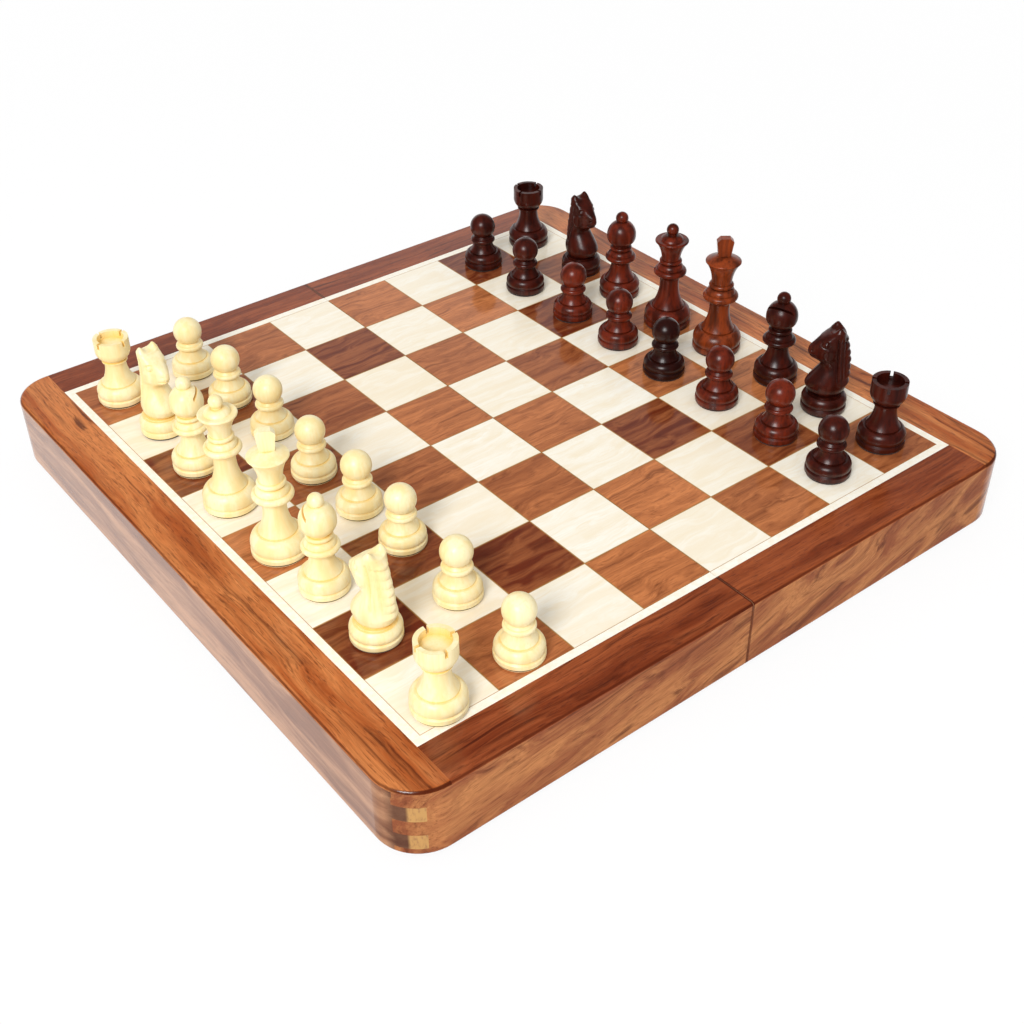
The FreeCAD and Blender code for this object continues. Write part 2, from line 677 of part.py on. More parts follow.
def make_closers():
    """Magnets that hold the folded board shut."""
    level = BASE + D["closer_recess"]
    discs = []
    for number, (x, y) in enumerate(closer_places()):
        discs.append(disc(f"closer_{number}", D["closer_radius"], D["closer_height"], x, y, level))
    both_halves(group("closing_magnets", discs), "closing_magnets")


def hinge_leaf(name, own, others):
    """A leaf on the -X side with its own knuckles, cut back round the other leaf's."""
    half = D["hinge_length"] / 2
    plate = box(name + "_plate", (-D["leaf_width"], NONE), (-half, half), (LEAF_FACE, LEAF_BACK))
    knuckles = [barrel(f"{name}_knuckle_{number}", D["knuckle_radius"], y) for number, y in enumerate(own)]
    tools = [barrel(name + "_bore", D["pin_radius"] + D["pin_fit"], (-half, half))]
    room = D["knuckle_radius"] + D["knuckle_gap"]
    for number, (low, high) in enumerate(others):
        along = (low - D["knuckle_gap"], high + D["knuckle_gap"])
        tools.append(box(f"{name}_room_{number}", (-room, room), along, (AXIS - room, AXIS + room)))
    for side, y in (("low", -D["screw_spread"]), ("high", D["screw_spread"])):
        hole = doc.addObject("Part::Cone", f"{name}_hole_{side}")
        bind(hole, "Radius1", D["screw_head_radius"] + D["screw_fit"])
        bind(hole, "Radius2", D["screw_shank_radius"] + D["screw_fit"])
        bind(hole, "Height", D["leaf_thickness"])
        stand(hole, -D["screw_inset"], y, LEAF_FACE)
        tools.append(hole)
    return cut(name, fuse(name + "_blank", [plate] + knuckles), tools)


def make_hinges():
    """Two butt hinges under the fold: leaves, pins and screws."""
    half = D["hinge_length"] / 2
    third = D["hinge_length"] / 6
    gap = D["knuckle_gap"] / 2
    outer = [(-half, -third - gap), (third + gap, half)]
    middle = [(gap - third, third - gap)]
    places = [("front", -D["hinge_spread"]), ("back", D["hinge_spread"])]

    white_leaf = hinge_leaf("outer_leaf", outer, middle)
    black_leaf = hinge_leaf("middle_leaf", middle, outer)
    pairs = [copy_of(f"outer_leaf_{end}", white_leaf, y=y) for end, y in places]
    hand_in(group("outer_leaves", pairs), "white_side_hinge_leaves")
    pairs = [copy_of(f"middle_leaf_{end}", black_leaf, y=y, turn=180.0) for end, y in places]
    hand_in(group("middle_leaves", pairs), "black_side_hinge_leaves")

    pins = [barrel(f"pin_{end}", D["pin_radius"], (y - half, y + half)) for end, y in places]
    hand_in(group("hinge_pins", pins), "hinge_pins")

    head = doc.addObject("Part::Cone", "screw_head")
    bind(head, "Radius1", D["screw_head_radius"])
    bind(head, "Radius2", D["screw_shank_radius"])
    bind(head, "Height", D["leaf_thickness"])
    shank = disc("screw_shank", D["screw_shank_radius"], D["screw_length"], NONE, NONE, NONE)
    screw = fuse("screw", [head, shank])
    screws = []
    for end, y in places:
        for side, spread in (("low", -D["screw_spread"]), ("high", D["screw_spread"])):
            screws.append(copy_of(f"screw_{end}_{side}", screw, -D["screw_inset"], y + spread, LEAF_FACE))
    both_halves(group("hinge_screws", screws), "hinge_screws")


def climb(level, *heights):
    """Levels reached by stacking heights on a first level."""
    levels = []
    for height in heights:
        level = level + height
        levels.append(level)
    return levels


def foot(kind):
    """The turned foot of a man, from its magnet bore up to the shoulder, and the shoulder's level."""
    radius = D[f"{kind}_foot_radius"]
    shoulder = D[f"{kind}_shoulder_radius"]
    groove = D["groove_depth"]
    soft = D["foot_softening"]
    bore = D["magnet_radius"] + D["magnet_fit"]
    felt = D["felt_thickness"]
    band, line, swell = climb(felt, D["foot_height"], groove, groove / 2)
    crest = swell + D[f"{kind}_dome_height"]
    level = crest + D["ledge_width"] * LEDGE_RISE
    roof = felt + D["magnet_height"] + D["magnet_fit"]
    points = [
        (NONE, roof, 0),
        (bore, roof, 0),
        (bore, felt, 0),
        (radius - soft, felt, QUARTER_ROUND),
        (radius, felt + soft, 0),
        (radius, band, 0),
        (radius - groove, line, 0),
        (radius - groove / 2, swell, DOME_BEND),
        (shoulder + D["ledge_width"], crest, 0),
        (shoulder, crest, 0),
    ]
    return points, shoulder, level


def stem(kind, flared=True):
    """Foot, hollow stem and, on the taller men, the flared collar, its ring and a bead; ends at the neck."""
    points, shoulder, level = foot(kind)
    top = level + D[f"{kind}_stem_height"]
    points += [(shoulder, level, STEM_BEND)]
    slim = D[f"{kind}_stem_radius"]
    if not flared:
        return points, slim, top
    edge = D[f"{kind}_collar_edge"] / 2
    collar = D[f"{kind}_collar_radius"] - edge * EDGE_ROUND
    ring = D[f"{kind}_ring_radius"]
    neck = D[f"{kind}_neck_radius"]
    swell = D[f"{kind}_bead_height"] / 2
    bead = D[f"{kind}_bead_radius"] - swell * EDGE_ROUND
    flare, lip, ring_top = climb(top, D[f"{kind}_flare_height"], edge * 2, D[f"{kind}_ring_height"])
    bead_top = ring_top + swell * 2
    points += [
        (slim, top, FLARE_BEND),
        (collar, flare, EDGE_ROUND),
        (collar, lip, 0),
        (ring, lip, SWELL_BEND),
        (neck, ring_top, 0),
        (bead, ring_top, EDGE_ROUND),
        (bead, bead_top, 0),
        (neck, bead_top, 0),
    ]
    return points, neck, bead_top


def ball(radius, seat, level):
    """A ball standing on a round seat at a level: its lower ring, its top, and how far round it goes."""
    rise = root(radius * radius - seat * seat)
    sweep = math.pi - math.asin(seat.value / radius.value)
    return [(seat, level, math.tan(sweep / 4)), (NONE, level + rise + radius, 0)]


def make_pawn():
    """Pawn: a bead collar and a ball."""
    points, slim, top = stem("pawn", flared=False)
    bead = D["pawn_collar_height"] / 2
    collar = D["pawn_collar_radius"] - bead * EDGE_ROUND
    lip, seat = climb(top, bead * 2, D["pawn_neck_height"])
    points += [(slim, top, 0), (collar, top, EDGE_ROUND), (collar, lip, 0)]
    points += ball(D["pawn_ball_radius"], D["pawn_neck_radius"], seat)
    return turned("pawn", points)


def make_rook():
    """Rook: a cup-shaped crown with a well, sawn across twice."""
    points, slim, top = stem("rook", flared=False)
    ring = D["rook_ring_height"]
    ring_top, cup, crown = climb(top, ring, D["rook_cup_height"], D["rook_crown_height"])
    well = crown - D["rook_well_depth"]
    points += [
        (slim, top, 0),
        (D["rook_ring_radius"], top + ring * RING_CHAMFER, 0),
        (D["rook_ring_radius"], ring_top - ring * RING_CHAMFER, 0),
        (slim, ring_top, SWELL_BEND),
        (D["rook_crown_radius"], cup, 0),
        (D["rook_crown_radius"], crown, 0),
        (D["rook_well_radius"], crown, 0),
        (D["rook_well_radius"], well, 0),
        (NONE, well, 0),
    ]
    body = turned("rook", points)
    across = D["rook_crown_radius"] * PAST
    thin = D["rook_slot_width"] / 2
    corners = [(-across, -thin, 0), (across, -thin, 0), (across, thin, 0), (-across, thin, 0)]
    sketch = outline(body, "rook_slot_outline", "XY_Plane", corners)
    bind(sketch, "AttachmentOffset.Base.z", crown)
    doc.recompute()
    slot = body.newObject("PartDesign::Pocket", "rook_slot")
    slot.Profile = sketch
    bind(slot, "Length", D["rook_slot_depth"])
    doc.recompute()
    saws = body.newObject("PartDesign::PolarPattern", "rook_slots")
    saws.Originals = [slot]
    saws.Axis = (sketch, ["N_Axis"])
    saws.Angle = 90.0
    saws.Occurrences = 2
    body.Tip = saws
    return body


def make_bishop():
    """Bishop: an egg-shaped mitre with a sloping saw cut and a ball."""
    points, neck, top = stem("bishop")
    seat, widest, tip = climb(top, D["bishop_neck_height"], D["bishop_mitre_lower"], D["bishop_mitre_upper"])
    points += [
        (neck, seat, SWELL_BEND),
        (D["bishop_mitre_radius"], widest, SWELL_BEND),
    ]
    points += ball(D["bishop_ball_radius"], D["bishop_tip_radius"], tip)
    body = turned("bishop", points)
    slope = math.radians(D["bishop_slit_angle"].value)
    reach = D["bishop_mitre_radius"] * PAST
    inner = reach - D["bishop_slit_depth"]
    level = widest + D["bishop_mitre_upper"] * SLIT_LEVEL
    thick = D["bishop_slit_width"] * (1 / math.cos(slope))
    drop = (reach - inner) * math.tan(slope)
    corners = [
        (inner, level - drop, 0),
        (reach, level, 0),
        (reach, level + thick, 0),
        (inner, level - drop + thick, 0),
    ]
    sketch = outline(body, "bishop_slit_outline", "XZ_Plane", corners)
    doc.recompute()
    slit = body.newObject("PartDesign::Pocket", "bishop_slit")
    slit.Profile = sketch
    slit.Midplane = True
    bind(slit, "Length", reach * 2)
    body.Tip = slit
    return body


def make_queen():
    """Queen: a flared coronet with a stepped cap and a ball."""
    points, neck, top = stem("queen")
    edge = D["queen_coronet_edge"] / 2
    coronet = D["queen_coronet_radius"] - edge * EDGE_ROUND
    cap = D["queen_cap_radius"]
    waist, brim, lip = climb(top, D["queen_neck_height"], D["queen_coronet_height"], edge * 2)
    crest, seat = climb(lip, D["queen_cap_height"], D["queen_tip_height"])
    points += [
        (neck, waist, CROWN_BEND),
        (coronet, brim, EDGE_ROUND),
        (coronet, lip, 0),
        (cap, lip, SWELL_BEND),
        (D["queen_tip_radius"], crest, 0),
    ]
    points += ball(D["queen_ball_radius"], D["queen_tip_radius"], seat)
    return turned("queen", points)


def make_king():
    """King: a flared crown with a flat, splayed finial."""
    points, neck, top = stem("king")
    edge = D["king_crown_edge"] / 2
    crown = D["king_crown_radius"] - edge * EDGE_ROUND
    waist, brim, lip = climb(top, D["king_neck_height"], D["king_crown_height"], edge * 2)
    flat = lip + D["king_cap_height"]
    points += [
        (neck, waist, CROWN_BEND),
        (crown, brim, EDGE_ROUND),
        (crown, lip, 0),
        (D["king_cap_radius"], flat, 0),
        (NONE, flat, 0),
    ]
    body = turned("king", points)
    root_width = D["king_finial_root"] / 2
    width = D["king_finial_top"] / 2
    chamfer = D["king_finial_chamfer"]
    low = flat - D["king_cap_height"] / 2
    high = flat + D["king_finial_height"]
    corners = [
        (-root_width, low, 0),
        (root_width, low, 0),
        (width, high - chamfer, 0),
        (width - chamfer, high, 0),
        (chamfer - width, high, 0),
        (-width, high - chamfer, 0),
    ]
    sketch = outline(body, "king_finial_outline", "XZ_Plane", corners)
    doc.recompute()
    finial = body.newObject("PartDesign::Pad", "king_finial")
    finial.Profile = sketch
    finial.Midplane = True
    bind(finial, "Length", D["king_finial_thickness"])
    body.Tip = finial
    return body


def mane(start, end, locks):
    """Scalloped locks along a bowed line between two shares of the head: points with their bends."""
    points = []
    for lock in range(locks):
        share = lock / locks
        bow = MANE_BOW * math.sin(math.pi * share)
        across = start[0] + (end[0] - start[0]) * share - bow
        up = start[1] + (end[1] - start[1]) * share
        points.append((across, up, start[2]))
    return points


def make_knight():
    """Knight: a carved head, the meeting of a side, a front and a plan outline, on a turned foot."""
    points, shoulder, level = foot("knight")
    points += [(shoulder, level, 0), (NONE, level, 0)]
    base = turned("knight_foot", points)

    reach = D["knight_head_reach"]
    past = reach * PAST
    height = D["knight_head_height"]
    bottom = level - D["knight_seat_depth"]

    spots = [TOE, CHEST, THROAT, JAW, CHIN, NOSE, BRIDGE, BROW, POLL, EAR]
    spots += mane(NAPE, RUMP, int(D["knight_mane_locks"].value))
    spots += [RUMP, HEEL]
    side = [(reach * HEEL[0], bottom, 0), (reach * TOE[0], bottom, 0)]
    side += [(reach * across, level + height * up, bend) for across, up, bend in spots]
    profile = padded("knight_side", "XZ_Plane", side, D["knight_chest_width"] * PAST, midplane=True)

    heel = D["knight_root_width"] / 2
    chest = D["knight_chest_width"] / 2
    cheek = D["knight_cheek_width"] / 2
    crest = D["knight_crest_width"] / 2
    broad = level + height * SHOULDER_LEVEL
    jowl = level + height * CHEEK_LEVEL
    tips = level + height
    high = level + height * PAST
    front = [
        (-heel, bottom, 0),
        (heel, bottom, 0),
        (heel, level, BLANK_BEND),
        (chest, broad, NECK_BEND),
        (cheek, jowl, 0),
        (crest, tips, 0),
        (crest, high, 0),
        (-crest, high, 0),
        (-crest, tips, 0),
        (-cheek, jowl, NECK_BEND),
        (-chest, broad, BLANK_BEND),
        (-heel, level, 0),
    ]
    face = padded("knight_front", "YZ_Plane", front, past * 2, midplane=True)

    muzzle = D["knight_muzzle_width"] / 2
    ridge = D["knight_mane_width"] / 2
    flat = reach * CHEEK_REACH
    spine = reach * MANE_REACH
    plan = [
        (-past, -ridge, 0),
        (-spine, -ridge, FLANK_BEND),
        (-flat, -chest, 0),
        (flat, -chest, FLANK_BEND),
        (past, -muzzle, 0),
        (past, muzzle, FLANK_BEND),
        (flat, chest, 0),
        (-flat, chest, FLANK_BEND),
        (-spine, ridge, 0),
        (-past, ridge, 0),
    ]
    above = padded("knight_plan", "XY_Plane", plan, high, offset=NONE)
    round_blank = [
        (NONE, bottom, 0),
        (reach * TOE[0], bottom, 0),
        (reach * TOE[0], level, BLANK_BEND),
        (past, broad, 0),
        (past, high, 0),
        (NONE, high, 0),
    ]
    head = common("knight_head", [profile, face, above, turned("knight_round", round_blank)])

    gap = D["knight_ear_gap"] / 2 * (high - tips + D["knight_ear_depth"]) / D["knight_ear_depth"]
    notch = [(NONE, tips - D["knight_ear_depth"], 0), (gap, high, 0), (-gap, high, 0)]
    between = padded("knight_ears", "YZ_Plane", notch, past + reach * POLL[0], offset=-past)
    depth = D["knight_mouth_depth"]
    slot = D["knight_mouth_height"] / 2
    lips = level + height * MOUTH_LEVEL
    cut_levels = (lips - slot, lips + slot)
    tools = [between, box("knight_mouth", (reach - depth, past), (-chest, chest), cut_levels)]
    throat = level + height * THROAT[1]
    thin = D["knight_line_width"]
    mane_line = [
        (reach * MANE_FOOT[0], level + height * MANE_FOOT[1], 0),
        (reach * MANE_FOOT[0] + thin, level + height * MANE_FOOT[1], 0),
        (reach * MANE_TOP[0] + thin, level + height * MANE_TOP[1], 0),
        (reach * MANE_TOP[0], level + height * MANE_TOP[1], 0),
    ]
    carved = cheek - D["knight_line_depth"]
    for side_name, sign in (("left", 1), ("right", -1)):
        taper = [(flat, chest, 0), (flat, cheek, 0), (past, muzzle, 0), (past, chest, 0)]
        wedge = [(x, y * sign, bend) for x, y, bend in taper[::-sign]]
        tools.append(padded(f"knight_taper_{side_name}", "XY_Plane", wedge, high - throat, offset=throat))
        eye = doc.addObject("Part::Cylinder", f"knight_eye_{side_name}")
        bind(eye, "Radius", D["knight_eye_radius"])
        bind(eye, "Height", chest)
        outwards = FreeCAD.Rotation(FreeCAD.Vector(1, 0, 0), -90 * sign)
        eye.Placement = FreeCAD.Placement(FreeCAD.Vector(), outwards)
        stand(eye, reach * EYE[0], (cheek - D["knight_eye_depth"]) * sign, level + height * EYE[1])
        tools.append(eye)
        near = carved if sign > 0 else -carved - chest
        tools.append(padded(f"knight_mane_line_{side_name}", "XZ_Plane", mane_line, chest, offset=near))
    return cut("knight", fuse("knight_blank", [base, head]), tools)


def with_magnet(kind, wood):
    """A man complete: the wood, the magnet in its bore and the felt disc under both."""
    level = D["felt_thickness"]
    magnet = disc(f"{kind}_magnet", D["magnet_radius"], D["magnet_height"], NONE, NONE, level)
    felt = disc(f"{kind}_felt", D[f"{kind}_foot_radius"] - D["felt_inset"], level, NONE, NONE, NONE)
    return group(f"{kind}_complete", [wood, magnet, felt])


def set_up():
    """The two armies on their home squares, as they stand in play."""
    makers = {
        "pawn": make_pawn, "rook": make_rook, "knight": make_knight,
        "bishop": make_bishop, "queen": make_queen, "king": make_king,
    }
    men = {kind: with_magnet(kind, maker()) for kind, maker in makers.items()}
    home = HALF_ACROSS - 0.5
    armies = (("white", -home, 1, WHITE_PLACES, WHITE_TURNS), ("black", home, -1, BLACK_PLACES, BLACK_TURNS))
    for colour, back, ahead, places, turns in armies:
        for number, letter in enumerate(FILES):
            for kind, row in ((BACK_RANK[number], back), ("pawn", back + ahead)):
                name = kind if kind in ("king", "queen") else f"{kind}_{letter}"
                off_x, off_y = places[name]
                x = D["square"] * (row + off_x)
                y = D["square"] * (home - number + off_y)
                man = copy_of(f"{colour}_{name}_stand", men[kind], x, y, TOP, turns.get(name, 0.0))
                hand_in(man, f"{colour}_{name}")


def write_nodes():
    """Check every object and write each node's solids."""
    doc.recompute()
    failed = [item.Name for item in doc.Objects if "Invalid" in item.State or "Error" in item.State]
    if failed:
        raise RuntimeError("objects that failed: " + ", ".join(failed))
    shapes = {item.Label: Part.getShape(item) for item in nodes}
    for label, shape in shapes.items():
        if shape.isNull() or not shape.isValid() or not shape.Solids:
            raise RuntimeError("no sound solid in " + label)
    os.makedirs("parts", exist_ok=True)
    for label, shape in shapes.items():
        shape.exportStep(f"parts/{label}.step")
        print(label, len(shape.Solids), "solids", round(shape.Volume / 1000, 2), "cm3")


make_walls()
make_rim()
make_field()
make_lining()
make_closers()
make_hinges()
set_up()
write_nodes()
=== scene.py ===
"""Looks of a folding wooden chess set: lacquered board halves, turned men, felt, brass and a white studio."""
import math

import bpy
import numpy as np
from mathutils import Matrix, Vector


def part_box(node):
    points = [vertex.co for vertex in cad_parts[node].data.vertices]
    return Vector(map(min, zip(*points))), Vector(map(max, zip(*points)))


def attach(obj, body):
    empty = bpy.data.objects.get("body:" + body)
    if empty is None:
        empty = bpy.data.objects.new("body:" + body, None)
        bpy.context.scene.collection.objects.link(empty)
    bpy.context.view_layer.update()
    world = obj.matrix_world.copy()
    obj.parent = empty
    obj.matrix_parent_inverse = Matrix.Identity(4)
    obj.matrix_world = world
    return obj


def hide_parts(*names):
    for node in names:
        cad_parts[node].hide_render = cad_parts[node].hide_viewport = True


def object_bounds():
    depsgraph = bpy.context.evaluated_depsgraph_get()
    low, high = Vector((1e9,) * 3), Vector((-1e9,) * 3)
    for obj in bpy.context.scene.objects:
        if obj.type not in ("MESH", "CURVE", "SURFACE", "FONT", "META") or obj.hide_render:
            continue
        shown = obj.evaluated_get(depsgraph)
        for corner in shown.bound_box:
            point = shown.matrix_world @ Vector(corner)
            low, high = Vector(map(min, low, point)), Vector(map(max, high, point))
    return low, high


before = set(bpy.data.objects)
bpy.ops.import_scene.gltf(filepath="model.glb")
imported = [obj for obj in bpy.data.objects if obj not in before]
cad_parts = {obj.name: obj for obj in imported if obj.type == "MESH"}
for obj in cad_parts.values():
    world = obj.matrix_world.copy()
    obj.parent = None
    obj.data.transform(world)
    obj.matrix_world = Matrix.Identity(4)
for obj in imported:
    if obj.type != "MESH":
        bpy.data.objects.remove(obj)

bl_info = {
    "name": "Folding Chess Set",
    "version": (1, 0, 0),
    "blender": (4, 5, 0),
    "location": "3D View > Sidebar > Chess",
    "description": "Dresses a folding chess board and its men in wood, felt and brass",
    "category": "Object",
}

CAD_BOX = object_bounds()
MM = 0.001
SIDES = ("white", "black")
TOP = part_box("white_side_rim_strips")[1].z
FRAME_EDGE = abs(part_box("white_side_inlay_strips")[0].x)
FIELD_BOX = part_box("white_side_light_squares")
SQUARE = round((FIELD_BOX[1].y - FIELD_BOX[0].y) / 8, 4)
STILL = (0.0, 0.0, 0.0)
ALONG_X, ALONG_Y = (1.0, 0.0, 0.0), (0.0, 1.0, 0.0)
QUARTER_TURN = (0.0, 0.0, math.pi / 2)

# How a plank's figure wanders, in millimetres: length and width of a bend, and how far it pushes the figure
CALM_FLOW = (70.0, 24.0, 16.0)
LIVELY_FLOW = (90.0, 40.0, 60.0)
# Where a dark line is drawn: painted shadow of the gap beside the seam in metres, and a glue stain along the edge of a
# square as a share of its side
SEAM_SHADOW = (0.4 * MM, 0.9 * MM)
GLUE_LINE = (0.487, 0.496)
# How open a hollow is where it takes the most painted shade and where it takes none, and the most painted shade
HOLLOW_RANGE = (0.35, 0.95)
MOST_HOLLOW_SHADE = 0.6
# How far a normal points up on the rim's top, and sideways on a long wall
UPWARD, SIDEWAYS = 0.3, 0.9

# Which timber each black man was turned from, from the palest to the darkest
TIMBER = {
    "king": "amber", "queen": "red", "pawn_c": "red", "pawn_d": "red", "pawn_f": "red", "pawn_g": "red",
    "bishop_c": "red", "pawn_e": "ebony", "pawn_h": "plum", "rook_h": "plum",
}

# How the knights are turned, in degrees from +X
KNIGHT_TURNS = {
    "white_knight_b": -80.0, "white_knight_g": 106.0, "black_knight_b": -88.0, "black_knight_g": 142.0,
}
# A knight's turned foot in millimetres, radius and height, from its sole to the flat that the neck stands on
KNIGHT_FOOT = (
    (4.6, 0.8), (9.2, 0.8), (9.55, 0.95), (9.7, 1.3), (9.7, 2.8), (9.0, 3.5), (9.35, 3.85), (9.58, 4.5),
    (9.68, 5.2), (9.62, 5.9), (9.42, 6.6), (9.1, 7.2), (8.65, 7.8), (8.1, 8.25), (7.2, 8.25), (7.2, 8.8),
)
# Its neck and head in millimetres: height over that flat, reach to the front and to the back, half width
KNIGHT_LEVELS = (
    (0.0, 6.4, 6.4, 6.0), (1.6, 8.2, 8.0, 6.9), (4.1, 9.3, 8.9, 7.4), (6.0, 8.5, 9.0, 7.3), (9.5, 6.0, 9.1, 6.5),
    (12.4, 3.8, 8.9, 5.7), (13.6, 3.3, 8.8, 5.4), (15.0, 4.2, 8.7, 5.0), (16.0, 5.4, 8.6, 4.8),
    (17.0, 8.0, 8.4, 4.8), (18.2, 9.1, 8.2, 4.8), (20.0, 9.7, 7.8, 4.8), (22.3, 9.2, 7.3, 4.9),
    (25.0, 6.3, 6.5, 5.0), (27.6, 3.4, 5.8, 5.0), (29.0, 0.8, 5.3, 4.8),
)
# Rings of its surface: height in millimetres, points on each, rings that close the top; a sharp edge in degrees
RING_STEP, RING_POINTS, CLOSING_RINGS, SHARP_EDGE = 0.25, 144, 12, 35
# Carved places in millimetres, reach and height: eye, brow, nostril, cheek; the mouth's height; an ear's reach and side
EYE, BROW, NOSTRIL, CHEEK = (3.5, 24.3), (3.2, 26.2), (8.2, 20.8), (1.6, 19.6)
MOUTH_LEVEL = 18.4
EAR = (-2.2, 3.3)

# Floor: half its width in metres, how clear its film is by the set, and where the film starts and ends to fade
FLOOR_REACH = 3.0
FILM_CLEAR = 0.88
FILM_FADE = (0.3, 1.0)
# Backdrop that lacquer mirrors: its direction, the shares at which it starts and is full, and the room's dim light
BACKDROP = (0.615, 0.789, -0.5)
BACKDROP_EDGE = (0.42, 0.74)
DIM_ROOM = 0.08
# Soft lamp: place and size in metres
KEY_PLACE = (-1.8, -1.1, 1.7)
KEY_SIZE = 0.9
# Camera: azimuth, elevation and roll in degrees, its place in metres with the height over the board's top, its sensor
CAMERA_ANGLES = (-37.919, 37.654, -0.567)
CAMERA_PLACE = (-0.3035, -0.4022, 0.3375)
SENSOR = 36.0


def linear(hex_colour):
    """An sRGB hex colour as linear red, green and blue with full alpha."""
    shares = [int(hex_colour[at:at + 2], 16) / 255 for at in (1, 3, 5)]
    return [s / 12.92 if s <= 0.04045 else ((s + 0.055) / 1.055) ** 2.4 for s in shares] + [1.0]


def colour(name, description, hex_colour):
    """A colour property with its default from a hex value."""
    return bpy.props.FloatVectorProperty(
        name=name, description=description, default=linear(hex_colour), size=4, min=0, max=1, subtype="COLOR")


def length(name, description, millimetres):
    """A length property with its default in millimetres."""
    return bpy.props.FloatProperty(
        name=name, description=description, default=millimetres * MM, min=0, subtype="DISTANCE", unit="LENGTH")


class ChessBoardLooks(bpy.types.PropertyGroup):
    """Woods of the board."""

    rim_pale: colour("Rim pale", "Palest bands of the rim's short strips", "#a5552e")
    rim_mid: colour("Rim middle", "Body colour of the rim's short strips", "#7f3719")
    rim_long_pale: colour("Long rim pale", "Palest bands of the rim's long strips", "#d8854a")
    rim_long_mid: colour("Long rim middle", "Body colour of the rim's long strips", "#b25a28")
    rim_dark: colour("Rim dark", "Dark figure of the rim", "#4a1806")
    wall_pale: colour("End wall pale", "Palest bands of the end walls", "#c68350")
    wall_mid: colour("End wall middle", "Body colour of the end walls", "#985636")
    wall_dark: colour("End wall dark", "Dark figure of the end walls", "#5a2a18")
    # The long walls' tones are partly the plank's own colour and partly painted dark reflection: darker and greyer than
    # the end walls'
    long_pale: colour("Long wall pale", "Palest bands of the long walls", "#c08e6a")
    long_mid: colour("Long wall middle", "Body colour of the long walls", "#8c5e45")
    long_dark: colour("Long wall dark", "Dark figure of the long walls", "#48261a")
    end_grain: colour("End grain", "Sawn ends of the fingers", "#c99a5c")
    dark_pale: colour("Dark squares pale", "Palest bands of the dark squares", "#dd8b54")
    dark_mid: colour("Dark squares middle", "Body colour of the dark squares", "#6c2d17")
    dark_deep: colour("Dark squares deep", "Figure of the dark squares", "#521e0e")
    light_pale: colour("Light squares pale", "Body colour of the light squares", "#fefaee")
    light_mid: colour("Light squares grain", "Grain of the light squares", "#f6e8cd")
    glue: colour("Glue line", "Stain along the edges of the squares", "#b07f3c")
    band: length("Band", "Width of a colour band across the grain", 8.0)
    figure: length("Figure", "Width of a dark figure line across the grain", 3.2)
    growth: length("Growth line", "Width of a growth line across the grain", 0.8)
    pore: length("Pore", "Width of a pore across the grain", 0.4)


class ChessMenLooks(bpy.types.PropertyGroup):
    """Woods and felts of the men."""

    boxwood_pale: colour("Boxwood", "Body colour of the white men", "#fdf0c2")
    boxwood_mid: colour("Boxwood grain", "Grain of the white men", "#f9dd94")
    # Painted golden shade that the white men's hollows take
    golden_hollow_shade: colour("Hollow shade", "Painted golden shade in the hollows of the white men", "#f6c544")
    amber: colour("Amber rosewood", "Palest of the black men", "#8f3c17")
    red: colour("Red rosewood", "Body colour of most black men", "#70240f")
    plum: colour("Plum rosewood", "Darker black men", "#4a1509")
    ebony: colour("Ebony rosewood", "Darkest of the black men", "#2c0b06")
    veins_and_hollow_shade: colour("Rosewood veins", "Dark veins of the black men and painted shade in their hollows", "#1c0604")
    hollow: length("Hollow", "How far apart the sides of a hollow that takes painted shade may be", 6.5)
    ring: length("Growth ring", "Width of a growth ring in the men", 1.6)
    pad: length("Felt pad", "Thickness of the felt under a man", 0.8)
    pad_inset: length("Felt pad inset", "Felt pad inside the foot's edge", 0.5)


class ChessStageLooks(bpy.types.PropertyGroup):
    """Studio round the set."""

    floor: colour("Floor", "Colour of the floor and the sky", "#ffffff")
    sky: bpy.props.FloatProperty(
        name="Sky", description="Strength of the light from all round", default=0.68, min=0)
    key: bpy.props.FloatProperty(name="Key", description="Power of the soft lamp in watts", default=48.0, min=0)
    lens: bpy.props.FloatProperty(
        name="Lens", description="Focal length on a 36 mm sensor", default=49.45, min=1, unit="CAMERA")


def add(tree, kind, settings, inputs):
    """Add one node, set its properties, set or link its inputs by name or number, and return its outputs."""
    made = tree.nodes.new(kind)
    for name, value in settings.items():
        setattr(made, name, value)
    for name, value in inputs.items():
        if isinstance(value, bpy.types.NodeSocket):
            tree.links.new(value, made.inputs[name])
        else:
            made.inputs[name].default_value = value
    return made.outputs


def new_material(name):
    """An empty node material, ready for a shader."""
    made = bpy.data.materials.new(name)
    made.use_nodes = True
    made.node_tree.nodes.clear()
    return made, made.node_tree


def log_spot(tree, turn=STILL, shift=STILL):
    """Where a point lies in the log, in millimetres, turned so that the grain runs along X; and the coordinates."""
    where = add(tree, "ShaderNodeTexCoord", {}, {})
    spot = add(tree, "ShaderNodeMapping", {}, {
        "Vector": where["Object"], "Location": shift, "Rotation": turn, "Scale": (1 / MM, 1 / MM, 1 / MM)})
    return spot[0], where


def grain(tree, spot, size, detail, low, high, most=1.0):
    """Noise stretched to a size in millimetres along X, Y and Z; its share from low to high becomes 0 to most."""
    scaled = add(tree, "ShaderNodeVectorMath", {"operation": "DIVIDE"}, {0: spot, 1: size})
    noise = add(tree, "ShaderNodeTexNoise", {}, {
        "Vector": scaled[0], "Scale": 1.0, "Detail": detail, "Roughness": 0.6})
    return add(tree, "ShaderNodeMapRange", {"interpolation_type": "SMOOTHSTEP"}, {
        0: noise[0], 1: low, 2: high, 4: most})[0]


